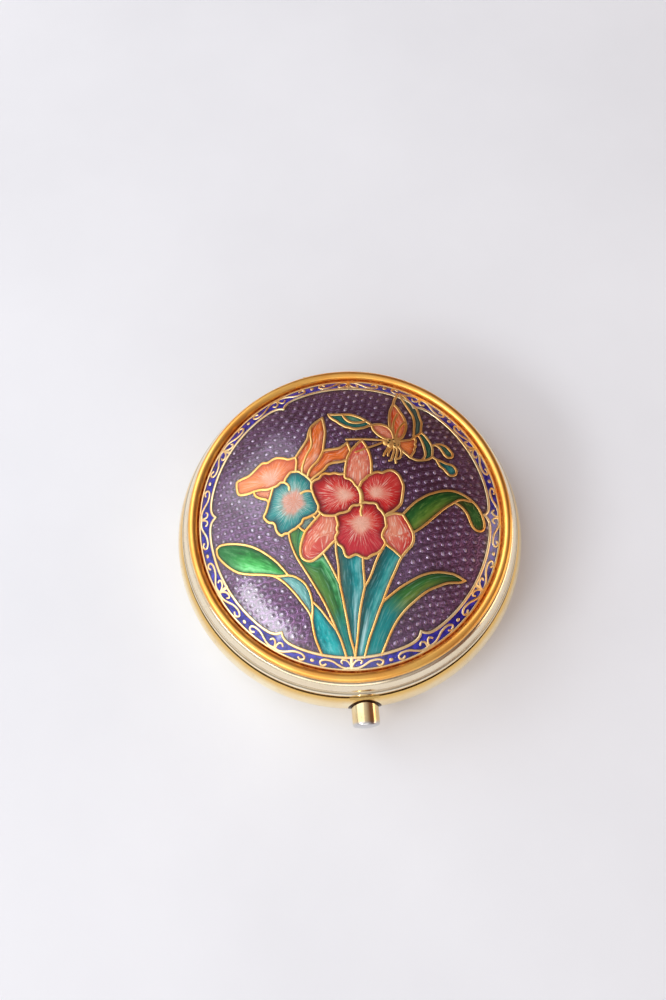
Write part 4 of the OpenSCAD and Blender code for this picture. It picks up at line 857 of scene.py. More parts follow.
class Paint:
    """Short calls for one node material on a Principled shader."""

    def __init__(self, name, **constants):
        self.material = bpy.data.materials.new(name)
        self.material.use_nodes = True
        self.tree = self.material.node_tree
        self.tree.nodes.clear()
        output = self.tree.nodes.new("ShaderNodeOutputMaterial")
        self.shader = self.tree.nodes.new("ShaderNodeBsdfPrincipled")
        self.tree.links.new(self.shader.outputs[0], output.inputs[0])
        for key, value in constants.items():
            self.shader.inputs[key.replace("_", " ")].default_value = value
        metres = self.node("ShaderNodeTexCoord").outputs["Object"]
        millimetres = self.node("ShaderNodeVectorMath", [metres], operation="SCALE")
        millimetres.inputs["Scale"].default_value = 1 / MM
        self.place = millimetres.outputs[0]

    def feed(self, socket, value):
        """Links a node's output to a socket, or sets the socket's own value."""
        if isinstance(value, bpy.types.NodeSocket):
            self.tree.links.new(value, socket)
        else:
            socket.default_value = value

    def node(self, kind, values=(), **settings):
        """A new node with values for its first inputs."""
        made = self.tree.nodes.new(kind)
        for key, value in settings.items():
            setattr(made, key, value)
        for number, value in enumerate(values):
            self.feed(made.inputs[number], value)
        return made

    def value(self, name):
        """One of the mesh's float attributes."""
        return self.node("ShaderNodeAttribute", attribute_name=name).outputs["Fac"]

    def math(self, operation, *values):
        return self.node("ShaderNodeMath", values, operation=operation).outputs[0]

    def stir(self, noise, amount, value):
        """The value, moved up and down by a noise."""
        return self.math("MULTIPLY_ADD", self.math("SUBTRACT", noise, 0.5), amount, value)

    def vector(self, x, y, z):
        return self.node("ShaderNodeCombineXYZ", [x, y, z]).outputs[0]

    def stretch(self, x, y, z):
        """The place in the object, scaled differently along each axis."""
        return self.node("ShaderNodeVectorMath", [self.place, (x, y, z)], operation="MULTIPLY").outputs[0]

    def noise(self, scale, detail, vector=None, roughness=0.55):
        made = self.node("ShaderNodeTexNoise")
        self.feed(made.inputs["Vector"], vector or self.place)
        made.inputs["Scale"].default_value = scale
        made.inputs["Detail"].default_value = detail
        made.inputs["Roughness"].default_value = roughness
        return made.outputs["Fac"]

    def specks(self, scale):
        """Distance to scattered points, 0 at each."""
        made = self.node("ShaderNodeTexVoronoi", [self.place])
        made.inputs["Scale"].default_value = scale
        return made.outputs["Distance"]

    def ramp(self, factor, stops):
        """Colours or numbers at places between 0 and 1."""
        made = self.node("ShaderNodeValToRGB", [factor])
        elements = made.color_ramp.elements
        while len(elements) < len(stops):
            elements.new(1)
        for element, (place, colour) in zip(elements, stops):
            element.position = place
            element.color = colour if isinstance(colour, tuple) else (colour, colour, colour, 1)
        return made.outputs["Color"]

    def mix(self, factor, first, second):
        """From the first colour to the second as the factor grows."""
        made = self.node("ShaderNodeMix", data_type="RGBA")
        self.feed(made.inputs[0], factor)
        self.feed(made.inputs[6], first)
        self.feed(made.inputs[7], second)
        return made.outputs[2]

    def bump(self, height, strength, depth, under=None):
        """A surface normal from heights; depth is in millimetres."""
        made = self.node("ShaderNodeBump")
        made.inputs["Strength"].default_value = strength
        made.inputs["Distance"].default_value = depth * MM
        self.feed(made.inputs["Height"], height)
        if under is not None:
            self.feed(made.inputs["Normal"], under)
        return made.outputs["Normal"]

    def done(self, **links):
        """The finished material, with values for the shader's inputs by name."""
        for key, value in links.items():
            self.feed(self.shader.inputs[key.replace("_", " ")], value)
        return self.material


def wear_and_painted_light_bands(paint, colour, bands, axis):
    """Lays (place, colour, share) stops over a colour along a box axis: worn plate, painted shade, painted
    reflections.
    """
    low, high = bands[0][0], bands[-1][0]
    place = paint.node("ShaderNodeSeparateXYZ", [paint.place]).outputs[axis]
    place = paint.stir(paint.noise(0.6, 3), 0.12, place)
    place = paint.math("DIVIDE", paint.math("SUBTRACT", place, low), high - low)
    tint = paint.ramp(place, [((at - low) / (high - low), stop) for at, stop, _ in bands])
    share = paint.ramp(place, [((at - low) / (high - low), stop) for at, _, stop in bands])
    return paint.mix(share, colour, tint)


def polished_metal(name, bright, dull, stain, rough=0.16, stained=0.35, scratch=(1, 1, 1), bands=(),
                   bands_along="Z", pits=0):
    """Plated metal: patches of duller plate, stained specks and fine wiping scratches.

    scratch is how much finer the marks are along each axis. pits scatters dark pin holes, that many
    to a millimetre."""
    paint = Paint(name, Metallic=1.0)
    cloud = paint.noise(0.22, 4)
    colour = paint.mix(paint.ramp(cloud, [(0.35, 0.0), (0.7, 1.0)]), bright, dull)
    grime = paint.ramp(paint.noise(1.3, 6, roughness=0.65), [(0.56, 0.0), (0.72, stained)])
    colour = paint.mix(grime, colour, stain)
    if bands:
        colour = wear_and_painted_light_bands(paint, colour, bands, bands_along)
    if pits:
        colour = paint.mix(paint.ramp(paint.specks(pits), [(0.2, 0.9), (0.34, 0.0)]), colour, stain)
    marks = paint.noise(9.0, 3, paint.stretch(*scratch))
    roughness = paint.math("MULTIPLY_ADD", marks, 0.16, rough - 0.08)
    roughness = paint.math("MULTIPLY_ADD", grime, 0.35, roughness)
    normal = paint.bump(marks, 0.5, 0.004)
    normal = paint.bump(paint.noise(0.5, 2), 0.4, 0.016, normal)
    return paint.done(Base_Color=colour, Roughness=roughness, Normal=normal)


def enamel(name, stops, layers=(), pale=(255, 232, 210), streak=0.45, dark=(60, 26, 16), foil=0.3,
           reach=None):
    """Translucent enamel over engraved foil, with painted glints along its streaks, dark between them and at
    its rim.

    stops colour it across the cell. layers are (colour, {value: mask}), laid where all their masks agree.
    The painted glints stop at reach, a share of the way from a petal's centre to its rim."""
    paint = Paint(name, Metallic=foil, Specular_IOR_Level=0.25, Coat_Weight=0.7, Coat_Roughness=0.08,
                  Coat_IOR=1.5)
    flow = paint.vector(paint.value("flow_x"), paint.value("flow_y"), paint.value("flow_z"))
    lines = paint.noise(2.4, 4, flow, 0.6)
    broad = paint.noise(0.9, 2)
    fade = paint.stir(broad, 0.34, paint.stir(lines, 0.4, paint.value("fade")))
    colour = paint.ramp(fade, [(place, rgb(*stop)) for place, stop in stops])
    for tint, masks in layers:
        share = None
        for key, mask_stops in masks.items():
            mask = paint.ramp(paint.stir(lines, 0.16, paint.value(key)), mask_stops)
            share = mask if share is None else paint.math("MULTIPLY", share, mask)
        colour = paint.mix(share, colour, rgb(*tint))
    # Painted highlight: pale glints along the streaks, where the engraved foil would catch the light.
    glints = paint.ramp(lines, [(0.52, 0.0), (0.64, streak)])
    if reach:
        near_centre = paint.ramp(paint.value("fade"), [(reach - 0.25, 1.0), (reach, 0.12)])
        glints = paint.math("MULTIPLY", glints, near_centre)
    colour = paint.mix(glints, colour, rgb(*pale))
    colour = paint.mix(paint.ramp(lines, [(0.32, 0.4), (0.46, 0.0)]), colour, rgb(*dark))
    brim = paint.math("MULTIPLY_ADD", paint.noise(2.5, 2), 0.2, paint.value("edge"))
    colour = paint.mix(paint.ramp(brim, [(0.26, 0.85), (0.38, 0.45), (0.72, 0.0)]), colour, rgb(*dark))
    normal = paint.bump(lines, 0.8, 0.04)
    normal = paint.bump(paint.noise(6.0, 2), 0.35, 0.01, normal)
    roughness = paint.math("MULTIPLY_ADD", broad, 0.2, 0.24)
    return paint.done(Base_Color=colour, Roughness=roughness, Normal=normal,
                      Coat_Normal=paint.bump(lines, 0.4, 0.02))


def ground_material():
    """Purple enamel over dimpled foil: each dimple is painted with a pale glint in a ring of painted shade.
    """
    paint = Paint("purple_ground", Metallic=0.8, Coat_Weight=1.0, Coat_Roughness=0.16, Coat_IOR=1.65)
    near = paint.value("dimple")
    strokes = paint.noise(1.0, 3, paint.stretch(1.3, 4.5, 1))
    cloud = paint.noise(0.12, 4)
    grain = paint.noise(3.2, 4)
    colour = paint.mix(paint.ramp(cloud, [(0.35, 0.0), (0.65, 1.0)]), rgb(82, 42, 72), rgb(112, 70, 114))
    colour = paint.mix(paint.ramp(strokes, [(0.48, 0.0), (0.66, 0.6)]), colour, rgb(158, 124, 172))
    colour = paint.mix(paint.ramp(grain, [(0.32, 0.55), (0.55, 0.0)]), colour, rgb(58, 32, 58))
    wide = paint.stir(grain, 0.5, near)
    # Painted shade: a dark ring round each dimple.
    ring = paint.ramp(wide, [(0.2, 0.0), (0.28, 0.5), (0.36, 0.4), (0.5, 0.0)])
    colour = paint.mix(ring, colour, rgb(50, 24, 50))
    # Painted highlight: a pale glint on each dimple, stronger where its tone is higher.
    glint = paint.math("MULTIPLY", paint.ramp(wide, [(0.04, 0.85), (0.18, 0.5), (0.3, 0.0)]),
                       paint.ramp(paint.value("tone"), [(0.0, 0.1), (0.6, 0.5), (1.0, 1.0)]))
    colour = paint.mix(glint, colour, rgb(238, 220, 250))
    brim = paint.math("MULTIPLY_ADD", paint.noise(1.5, 2), 0.2, paint.value("edge"))
    colour = paint.mix(paint.ramp(brim, [(0.3, 0.85), (0.45, 0.45), (0.8, 0.0)]), colour, rgb(40, 18, 24))
    heights = [(0.0, 1.0), (0.14, 0.78), (0.28, 0.05), (0.4, 0.42), (0.52, 0.12), (0.66, 0.3)]
    normal = paint.bump(paint.ramp(near, heights), 1.0, 0.14)
    normal = paint.bump(strokes, 0.5, 0.04, normal)
    roughness = paint.math("MULTIPLY_ADD", grain, 0.2, 0.22)
    return paint.done(Base_Color=colour, Roughness=roughness, Normal=normal,
                      Coat_Normal=paint.bump(paint.noise(0.7, 3), 0.4, 0.03))


def border_material():
    """Opaque cobalt enamel, darker along its wires, with a few pale pits."""
    paint = Paint("cobalt_border", Metallic=0.1, Coat_Weight=1.0, Coat_Roughness=0.07, Coat_IOR=1.5)
    grain = paint.noise(1.6, 4)
    colour = paint.ramp(grain, [(0.3, rgb(8, 2, 76)), (0.5, rgb(20, 10, 142)), (0.74, rgb(54, 46, 204))])
    brim = paint.ramp(paint.value("edge"), [(0.14, 0.8), (0.3, 0.0)])
    colour = paint.mix(brim, colour, rgb(20, 12, 40))
    pits = paint.ramp(paint.specks(1.1), [(0.04, 0.7), (0.09, 0.0)])
    colour = paint.mix(pits, colour, rgb(150, 156, 220))
    normal = paint.bump(grain, 0.4, 0.03)
    roughness = paint.math("MULTIPLY_ADD", grain, 0.25, 0.15)
    return paint.done(Base_Color=colour, Roughness=roughness, Normal=normal)


def groove_material():
    """The rough orange fill between the bezel and the medallion."""
    paint = Paint("bezel_groove", Metallic=0.75)
    grain = paint.noise(2.2, 5, roughness=0.7)
    colour = paint.ramp(grain, [(0.3, rgb(96, 34, 8)), (0.5, rgb(176, 78, 16)), (0.72, rgb(236, 176, 96))])
    normal = paint.bump(grain, 0.8, 0.06)
    roughness = paint.math("MULTIPLY_ADD", grain, 0.4, 0.2)
    return paint.done(Base_Color=colour, Roughness=roughness, Normal=normal)


def mirror_material():
    """Silvered glass, a little clouded and specked."""
    paint = Paint("silvered_mirror", Metallic=1.0, Coat_Weight=1.0, Coat_Roughness=0.02)
    cloud = paint.noise(0.15, 4)
    specks = paint.ramp(paint.specks(0.35), [(0.02, 0.5), (0.05, 0.0)])
    haze = paint.ramp(cloud, [(0.4, 0.0), (0.75, 0.25)])
    colour = paint.mix(haze, rgb(226, 230, 232), rgb(196, 196, 186))
    colour = paint.mix(specks, colour, rgb(120, 108, 92))
    return paint.done(Base_Color=colour, Roughness=paint.math("MULTIPLY_ADD", cloud, 0.06, 0.01))


def card_material():
    """Matt card with fibres."""
    paint = Paint("backing_card", Roughness=0.85)
    fibres = paint.noise(2.0, 5, paint.stretch(1, 5, 1))
    colour = paint.ramp(fibres, [(0.3, rgb(176, 166, 146)), (0.7, rgb(220, 212, 194))])
    return paint.done(Base_Color=colour, Normal=paint.bump(fibres, 0.4, 0.05))


def floor_material():
    """Plain pale paper."""
    paint = Paint("pale_floor", Roughness=0.9)
    colour = paint.ramp(paint.noise(0.02, 4), [(0.3, rgb(234, 235, 239)), (0.7, rgb(241, 242, 246))])
    return paint.done(Base_Color=colour, Normal=paint.bump(paint.noise(1.5, 3), 0.15, 0.05))


# ---------------------------------------------------------------- metals

PALE_GOLD = rgb(252, 236, 198)
CREAM_GOLD = rgb(248, 222, 170)
WARM_GOLD = rgb(255, 200, 106)
YELLOW = rgb(238, 192, 102)
SILVER = rgb(250, 238, 212)
GREY = rgb(230, 212, 182)
NICKEL = rgb(206, 208, 214)
SHADOW = rgb(60, 36, 16)
BROWN_STAIN = rgb(120, 74, 34)


def outside_gilt():
    """The base: pale gold, yellower at the foot and under the seam, with painted shade in the seam itself.
    """
    return polished_metal(
        "pale_gilt", PALE_GOLD, CREAM_GOLD, BROWN_STAIN, rough=0.17, stained=0.25, scratch=(1, 1, 5),
        # The SHADOW stops at the seam are painted shade.
        bands=[(0, YELLOW, 0.5), (2.5, YELLOW, 0.0), (SEAM_Z - 1.4, YELLOW, 0.0),
               (SEAM_Z - 0.6, YELLOW, 0.8), (SEAM_Z - 0.3, YELLOW, 0.9), (SEAM_Z - 0.2, SHADOW, 1.0),
               (SEAM_Z, SHADOW, 1.0)])


def rim_gilt():
    """The lid's rim: painted reflections in yellow, silver and grey bands, and painted shade in the seam and
    its two steps.
    """
    return polished_metal(
        "rim_gilt", rgb(250, 236, 204), rgb(246, 222, 176), BROWN_STAIN, rough=0.15, stained=0.3,
        scratch=(1, 1, 6),
        # Yellow: painted reflection of the base's gold. Silver and grey: painted reflections. SHADOW stops:
        # painted shade.
        bands=[(LID_Z, SHADOW, 1.0), (LID_Z + 0.1, SHADOW, 0.9), (LID_Z + 0.18, YELLOW, 0.9),
               (LID_Z + 0.6, YELLOW, 0.8), (LID_Z + 0.9, SILVER, 0.8), (BAND_Z - 0.15, SILVER, 0.8),
               (BAND_Z - 0.04, SHADOW, 0.7), (BAND_Z + 0.12, GREY, 0.6), (LEDGE_Z - 0.5, SILVER, 0.6),
               (LEDGE_Z - 0.2, GREY, 0.7), (LEDGE_Z - 0.08, SHADOW, 0.85)])


def bezel_gilt():
    """The bezel: warm gold, darkened to brown at its foot by painted shade."""
    return polished_metal(
        "bezel_gilt", WARM_GOLD, rgb(255, 180, 86), rgb(210, 116, 40), rough=0.32, stained=0.2,
        # Painted shade where the bezel's foot meets the ledge.
        bands=[(LEDGE_Z, SHADOW, 1.0), (LEDGE_Z + 0.12, rgb(150, 76, 20), 0.9),
               (LEDGE_Z + 0.3, rgb(246, 168, 72), 0.5), (LEDGE_Z + 0.9, rgb(255, 200, 110), 0.0)])


def button_gilt():
    """The button: gold, worn to the nickel under it at its face."""
    return polished_metal(
        "button_gilt", rgb(246, 222, 174), rgb(232, 196, 134), BROWN_STAIN, scratch=(4, 1, 4),
        bands_along="Y",
        bands=[(BUTTON_FRONT_Y, NICKEL, 0.95), (BUTTON_FRONT_Y + 0.55, NICKEL, 0.85),
               (BUTTON_FRONT_Y + 0.9, NICKEL, 0.1), (BUTTON_FRONT_Y + 1.5, NICKEL, 0.0)])


def wire_gilt():
    """The picture's wires."""
    return polished_metal("wire_gilt", rgb(255, 214, 140), rgb(250, 184, 96), rgb(184, 108, 48),
                          rough=0.36, stained=0.4)


def border_wire_gilt():
    """The border's wires, paler than the picture's."""
    return polished_metal("border_wire_gilt", rgb(255, 236, 190), rgb(252, 208, 140), rgb(170, 110, 60),
                          rough=0.36)


def butterfly_gilt():
    """The butterfly's body, with dark pin holes."""
    return polished_metal("butterfly_gilt", rgb(255, 216, 140), rgb(252, 190, 104), rgb(60, 32, 22),
                          rough=0.45, pits=1.7)


def satin_gilt():
    """The inside of the box."""
    return polished_metal("satin_gilt", rgb(232, 204, 146), rgb(214, 178, 112), BROWN_STAIN, rough=0.32)


def spring_steel():
    """Plain steel wire."""
    return polished_metal("spring_wire", rgb(200, 200, 204), rgb(168, 168, 172), rgb(150, 140, 124),
                          rough=0.3)


def spun_copper():
    """The plate under the enamel."""
    return polished_metal("spun_copper", rgb(222, 150, 112), rgb(196, 118, 82), rgb(90, 46, 30),
                          rough=0.35, stained=0.5)


# ---------------------------------------------------------------- base

# Radii of the wall at the notch over the button and at the hinge, and the gap round the bush.
NOTCH_R = 24.6
HINGE_R = 23.4
BUSH_GAP = 0.17


def base_outline(offset):
    """The base's section from the middle of its underside to the seam, moved outwards by offset."""
    low = arc(FOOT_R, WAIST_Z, WAIST_R - FOOT_R + offset, WAIST_Z + offset, -90, 0, 34)
    top = math.degrees(math.asin((SEAM_Z - WAIST_Z) / (TUCK_R + offset)))
    high = arc(WAIST_R - TUCK_R, WAIST_Z, TUCK_R + offset, TUCK_R + offset, 0, top, 16)
    flat = [(r, -offset) for r in np.linspace(0, FOOT_R, 5)[:-1]]
    edge = high[-1][0]
    return flat + low + high[1:-1] + [(edge, SEAM_Z - 0.09), (edge - 0.1 - 0.1 * offset, SEAM_Z)]


def wall_radius(z):
    """Outside radius of the base at a height."""
    if z < WAIST_Z:
        return FOOT_R + (WAIST_R - FOOT_R) * math.sqrt(1 - ((WAIST_Z - z) / WAIST_Z) ** 2)
    return WAIST_R - TUCK_R + math.sqrt(TUCK_R ** 2 - (z - WAIST_Z) ** 2)


def build_base(metal):
    """The cup, with a hole for the button, a notch over it and a notch for the hinge."""
    half_notch = math.degrees(NOTCH_HALF / NOTCH_R)
    half_hinge = math.degrees(math.asin(HINGE_HALF / HINGE_R))

    def is_open(r, z, angle):
        x, y = r * math.cos(angle), r * math.sin(angle)
        turn = math.degrees(angle)
        hole = y < 0 and math.hypot(x, z - BUTTON_Z) < BUSH_R + BUSH_GAP
        notch = abs(turn + 90) < half_notch and z > NOTCH_Z
        hinge = abs(turn - 90) < half_hinge and z > HINGE_NOTCH_Z
        return hole or notch or hinge

    # Closer columns round the button's hole.
    round_button = np.arange(-96, -84 + 0.01, 0.6)
    cuts = [*round_button, -90 - half_notch, -90 + half_notch, 90 - half_hinge, 90 + half_hinge]
    cuts = sorted(set(round(c, 4) for c in cuts))
    piece = pressed_sheet("base_cup", base_outline(0), base_outline(-WALL), ring_angles(1.5, cuts), is_open)
    settle(piece, "base", [metal], ["base_shell"])


# ---------------------------------------------------------------- lid

def lid_outline(offset):
    """The lid rim's section from the skirt's foot to the edge of its ledge, moved outwards by offset."""
    shoulder_r = SHOULDER_R - 0.45
    top = LEDGE_Z + offset
    skirt_r = SKIRT_R + offset
    foot = [(skirt_r - 0.12, LID_Z), (skirt_r, LID_Z + 0.14), (skirt_r, LID_Z + 0.3)]
    low = arc(BAND_R, LID_Z + 0.5, 0.25 + offset, BAND_Z - LID_Z - 0.5, 0, 80, 8)
    high = arc(shoulder_r, BAND_Z, BAND_R - 0.15 - shoulder_r + offset, top - BAND_Z, 5, 70, 14)
    ledge = [(SHOULDER_R + offset - 0.1, top - 0.12), (SHOULDER_R + offset - 0.3, top),
             (MEDAL_R + 0.3, top), (LEDGE_HOLE_R, top)]
    return foot + low + high + ledge


def build_lid_rim(metal):
    """The rim, with a gap in its lower band for the hinge."""
    half = math.degrees(math.asin(HINGE_HALF / BAND_R))

    def is_open(r, z, angle):
        return abs(math.degrees(angle) - 90) < half and z < BAND_Z

    angles = ring_angles(1.25, [90 - half, 90 + half])
    piece = pressed_sheet("lid_rim", lid_outline(0), lid_outline(-LID_WALL), angles, is_open)
    settle(piece, "lid", [metal], ["lid_shell"])


def build_bezel(metal, groove):
    """The round-topped bezel, and the fill between it and the medallion."""
    bead = arc(BEZEL_R, LEDGE_Z + BEAD_R, BEAD_R, BEAD_R, -20, 200, 28)
    foot = BEAD_R - 0.04
    piece = lathe("bezel", [(BEZEL_R + foot, LEDGE_Z), *bead, (BEZEL_R - foot, LEDGE_Z)], 320)
    settle(piece, "lid", [metal], ["bezel_ring"])
    inner, outer = MEDAL_R - 0.25, MEDAL_R + 0.13
    edge = float(dome_height(MEDAL_R - 0.1))
    section = [(inner, edge - 0.3), (outer, edge - 0.3), (outer, edge - 0.1), (MEDAL_R, edge - 0.16),
               (MEDAL_R - 0.12, edge - 0.1), (inner, edge - 0.08)]
    settle(lathe("bezel_groove", section, 320), "lid", [groove])


# ---------------------------------------------------------------- button

def build_button(metal):
    """The button's slightly domed head and its stem, one turned piece."""
    round_r, dome = 0.5, 0.2
    flat_r = BUTTON_R - round_r
    depth = BUTTON_BACK_Y - BUTTON_FRONT_Y
    stem_end = STEM_END_Y - BUTTON_FRONT_Y
    face = [(r, dome * (r / flat_r) ** 2) for r in np.linspace(0, flat_r, 8)[:-1]]
    side = arc(flat_r, dome + round_r, round_r, round_r, -90, 0, 8)
    back = [(BUTTON_R, depth - 0.05), (BUTTON_R - 0.05, depth), (STEM_R, depth), (STEM_R, stem_end),
            (0, stem_end)]
    piece = lathe("button", face + side + back, 96, around_button)
    settle(piece, "button", [metal], ["push_button"])


def build_collar(metal):
    """The bush round the button: a bore and a flange that follows the wall's curve."""
    outer = BUSH_R + BUSH_WALL
    # Radius, and how far it stands out of the wall.
    section = [(BUSH_R, -0.2), (BUSH_R, 0.03), (BUSH_R + 0.05, 0.07), (outer - 0.12, 0.07), (outer, 0.02),
               (outer, -0.2)]
    segments = 96
    points = []
    for r, proud in section:
        for a in full_circle(segments):
            x, z = r * math.cos(a), BUTTON_Z + r * math.sin(a)
            points.append((x, -math.sqrt(wall_radius(z) ** 2 - x ** 2) - proud, z))
    inner_back = [(x, BUSH_BACK_Y, z) for x, _, z in points[:segments]]
    outer_back = [(x, BUSH_BACK_Y, z) for x, _, z in points[-segments:]]
    points = inner_back + points + outer_back
    faces = grid_faces(len(section) + 2, segments, round_rows=True)
    piece = weld(add_mesh("button_collar", points, faces))
    settle(piece, "base", [metal], ["button_bush"])


def build_spring(metal):
    """The coil round the button's stem."""
    sides, rings = 8, 24 * SPRING_TURNS
    length = SPRING_BACK_Y - SPRING_FRONT_Y
    points = []
    for t in np.linspace(0, 1, rings + 1):
        turn = 2 * math.pi * SPRING_TURNS * t
        y = SPRING_FRONT_Y + SPRING_WIRE_R + (length - 2 * SPRING_WIRE_R) * t
        for b in full_circle(sides):
            r = SPRING_R + SPRING_WIRE_R * math.cos(b)
            depth = y - BUTTON_FRONT_Y + SPRING_WIRE_R * math.sin(b)
            points.append(around_button(r, depth, turn))
    ends = [range(sides), range(rings * sides, (rings + 1) * sides)]
    piece = weld(add_mesh("return_spring", points, grid_faces(rings + 1, sides) + ends))
    settle(piece, "base", [metal], ["button_spring"])
    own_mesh(piece)


# ---------------------------------------------------------------- medallion

PICTURE_WIRE = 0.37
FINE_WIRE = 0.31
FINE_PARTS = ("stem", "leaf", "drop", "leg", "tail", "crescent", "fan")
ODD_WIRES = {"red_seam": 0.55, "feeler": 0.3, "low_feeler": 0.3}


def picture_lines():
    """Every wire of the picture with its width."""
    lines = []
    for name, points in WIRES.items():
        usual = FINE_WIRE if any(part in name for part in FINE_PARTS) else PICTURE_WIRE
        lines.append((smooth_curve(points), ODD_WIRES.get(name, usual)))
    return lines


def build_picture(wire_metal, border_metal):
    """The border, the ground, the wires and the coloured cells."""
    picture, border = picture_lines(), border_lines()
    settle(border_mesh("border"), "lid", [border_material()], ["border_enamel"])
    settle(wire_mesh("border_scrollwork", border), "lid", [border_metal], ["border_wires"])
    # The ground darkens along the picture's wires and the border's two rings.
    ground = ground_mesh("ground", picture + border[:2])
    settle(ground, "lid", [ground_material()], ["ground_enamel"])
    settle(wire_mesh("picture_scrollwork", picture), "lid", [wire_metal], ["picture_wires"])
    for name, (node, slot, cells) in ENAMELS.items():
        glazes = [enamel(f"{cell}_glaze", **LOOKS[cell]["glaze"]) for cell in cells]
        settle(cells_mesh(name, cells), "lid", glazes, [node])


# The mounds of the butterfly's body, as (x, y, radius), and a mound's steps as (share of radius, height).
BODY_MOUNDS = [(5.1, 9.65, 0.5), (5.8, 9.6, 0.6), (6.5, 9.55, 0.6), (5.5, 9.95, 0.4), (6.3, 9.95, 0.42),
               (5.6, 9.2, 0.4), (6.4, 9.1, 0.4)]
MOUND_STEPS = [(1, -0.1), (0.95, 0.02), (0.75, 0.09), (0.4, 0.13)]


def build_butterfly_body(metal):
    """The butterfly's gilt body: low mounds that run together."""
    sides = 20
    points, faces = [], []
    for x, y, size in BODY_MOUNDS:
        start = len(points)
        for share, height in MOUND_STEPS:
            points += [(x + size * share * math.cos(a), y + size * share * math.sin(a), height)
                       for a in full_circle(sides)]
        faces += [[start + k for k in face] for face in grid_faces(len(MOUND_STEPS), sides)]
        faces.append(range(len(points) - sides, len(points)))
    piece = add_mesh("butterfly_body", on_dome(*np.array(points).T), faces)
    settle(piece, "lid", [metal])


# ---------------------------------------------------------------- the whole box

def dress_frame(material, *nodes):
    """A material for CAD pieces that show as they are."""
    for node in nodes:
        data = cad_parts[node].data
        data.materials.clear()
        data.materials.append(material)


def build_box():
    """Every piece, and materials for the CAD pieces that stay."""
    rim, wire = rim_gilt(), wire_gilt()
    build_base(outside_gilt())
    build_lid_rim(rim)
    build_bezel(bezel_gilt(), groove_material())
    build_button(button_gilt())
    build_collar(rim)
    build_spring(spring_steel())
    build_picture(wire, border_wire_gilt())
    build_butterfly_body(butterfly_gilt())
    dress_frame(satin_gilt(), "seat_ring", "tray_cup", "tray_divider", "latch_cover", "latch_bracket",
                "mirror_ring", "stop_washer", "latch_plate", "latch_collar")
    dress_frame(rim, "base_hinge_leaf", "lid_catch", "lid_hinge_leaf")
    dress_frame(wire, "hinge_pin")
    dress_frame(spun_copper(), "medallion_plate")
    dress_frame(card_material(), "backing_card")
    dress_frame(mirror_material(), "mirror_glass")


# ---------------------------------------------------------------- scene

CAMERA_TURN = math.radians(-3.0)
CAMERA_HEIGHT = math.radians(72.1)
CAMERA_ROLL = math.radians(-1.69)
CAMERA_RANGE = 139
CAMERA_TARGET = Vector((0, 0, 13.7))
CAMERA_LEFT = 2.35
CAMERA_DOWN = -2.57

# Name, direction towards the light, distance and size in metres, watts, colour.
LIGHTS = [
    ("window", (-0.62, 0.2, 0.75), 0.5, (0.42, 0.55), 0.68, (0.94, 0.975, 1.0)),
    ("high_window", (-0.5, 0.56, 0.64), 0.5, (0.3, 0.26), 0.36, (0.92, 0.96, 1.0)),
    ("lamp", (-0.69, -0.43, 0.63), 0.5, (0.27, 0.09), 0.75, (0.94, 0.97, 1.0)),
    ("warm_bounce", (0.95, -0.15, 0.19), 0.5, (0.4, 0.16), 0.5, (1.0, 0.8, 0.58)),
    ("front_fill", (-0.2, -0.85, 0.45), 0.6, (0.5, 0.3), 0.45, (1.0, 0.98, 0.95)),
]

# The room that the metal mirrors: dark on one side and bright towards LIT_SIDE.
LIT_SIDE = (-0.6, -0.35, 0.35)
LIT_SHIFT = 0.3
DARK_ROOM = (0.24, 0.12, 0.09, 1)
BRIGHT_ROOM = (0.90, 0.91, 0.94, 1)
ROOM_STRENGTH = 0.78
BACKDROP = (0.80, 0.81, 0.83, 1)


def place_camera():
    """A camera that looks down on the button's side of the box."""
    back = Vector((math.sin(CAMERA_TURN) * math.cos(CAMERA_HEIGHT),
                   -math.cos(CAMERA_TURN) * math.cos(CAMERA_HEIGHT), math.sin(CAMERA_HEIGHT)))
    level = Vector((math.cos(CAMERA_TURN), math.sin(CAMERA_TURN), 0))
    right = math.cos(CAMERA_ROLL) * level + math.sin(CAMERA_ROLL) * back.cross(level)
    up = back.cross(right)
    data = bpy.data.cameras.new("camera")
    data.sensor_fit = "AUTO"
    data.sensor_width = 36
    data.sensor_height = 36
    data.lens = 36
    data.clip_start = 0.001
    camera = bpy.data.objects.new("camera", data)
    place = CAMERA_TARGET + CAMERA_RANGE * back - CAMERA_LEFT * right - CAMERA_DOWN * up
    camera.matrix_world = Matrix.Translation(place * MM) @ Matrix((right, up, back)).transposed().to_4x4()
    bpy.context.scene.collection.objects.link(camera)
    bpy.context.scene.camera = camera


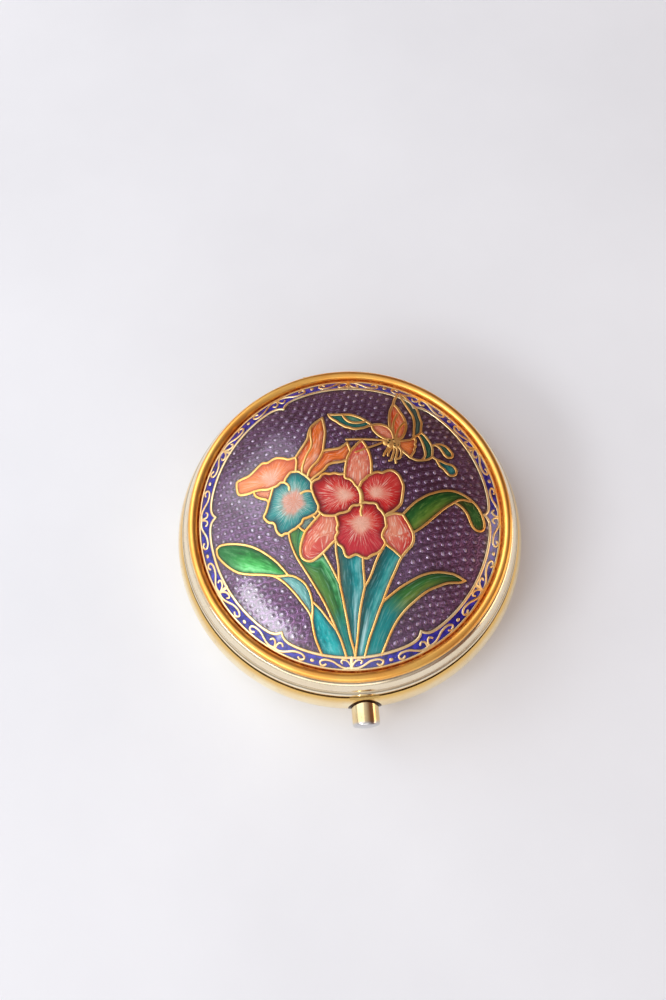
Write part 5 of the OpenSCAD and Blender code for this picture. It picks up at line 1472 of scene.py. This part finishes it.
def area_light(name, direction, distance, size, watts, colour):
    """A soft light that shines on the box from a direction."""
    data = bpy.data.lights.new(name, "AREA")
    data.shape = "RECTANGLE"
    data.size, data.size_y = size
    data.energy = watts
    data.color = colour
    light = bpy.data.objects.new(name, data)
    aim = Vector(direction).normalized()
    turn = aim.to_track_quat("Z", "Y").to_matrix().to_4x4()
    light.matrix_world = Matrix.Translation(aim * distance) @ turn
    bpy.context.scene.collection.objects.link(light)


def light_room():
    """The room's light, with a plain pale backdrop where the camera looks past the floor."""
    world = bpy.data.worlds.new("room")
    world.use_nodes = True
    tree = world.node_tree
    tree.nodes.clear()
    output = tree.nodes.new("ShaderNodeOutputWorld")
    pick = tree.nodes.new("ShaderNodeMixShader")
    ray = tree.nodes.new("ShaderNodeLightPath")
    room = tree.nodes.new("ShaderNodeBackground")
    room.inputs["Strength"].default_value = ROOM_STRENGTH
    backdrop = tree.nodes.new("ShaderNodeBackground")
    backdrop.inputs["Color"].default_value = BACKDROP
    place = tree.nodes.new("ShaderNodeTexCoord")
    toward = tree.nodes.new("ShaderNodeVectorMath")
    toward.operation = "DOT_PRODUCT"
    toward.inputs[1].default_value = LIT_SIDE
    shift = tree.nodes.new("ShaderNodeMath")
    shift.inputs[1].default_value = LIT_SHIFT
    ramp = tree.nodes.new("ShaderNodeValToRGB")
    dark, bright = ramp.color_ramp.elements
    dark.position = 0.2
    dark.color = DARK_ROOM
    bright.position = 0.7
    bright.color = BRIGHT_ROOM
    links = [
        (place.outputs["Generated"], toward.inputs[0]),
        (toward.outputs["Value"], shift.inputs[0]),
        (shift.outputs[0], ramp.inputs[0]),
        (ramp.outputs["Color"], room.inputs["Color"]),
        (ray.outputs["Is Camera Ray"], pick.inputs[0]),
        (room.outputs[0], pick.inputs[1]),
        (backdrop.outputs[0], pick.inputs[2]),
        (pick.outputs[0], output.inputs[0]),
    ]
    for start, end in links:
        tree.links.new(start, end)
    bpy.context.scene.world = world


def lay_floor():
    """A plain pale floor, 1.8 m square."""
    steps = np.linspace(-900, 900, 13)
    points = [(x, y, 0) for y in steps for x in steps]
    floor = add_mesh("floor", points, grid_faces(len(steps), len(steps), round_columns=False))
    floor.data.materials.append(floor_material())


build_box()
lay_floor()
for light in LIGHTS:
    area_light(*light)
light_room()
place_camera()
bpy.context.scene.view_settings.view_transform = "Standard"
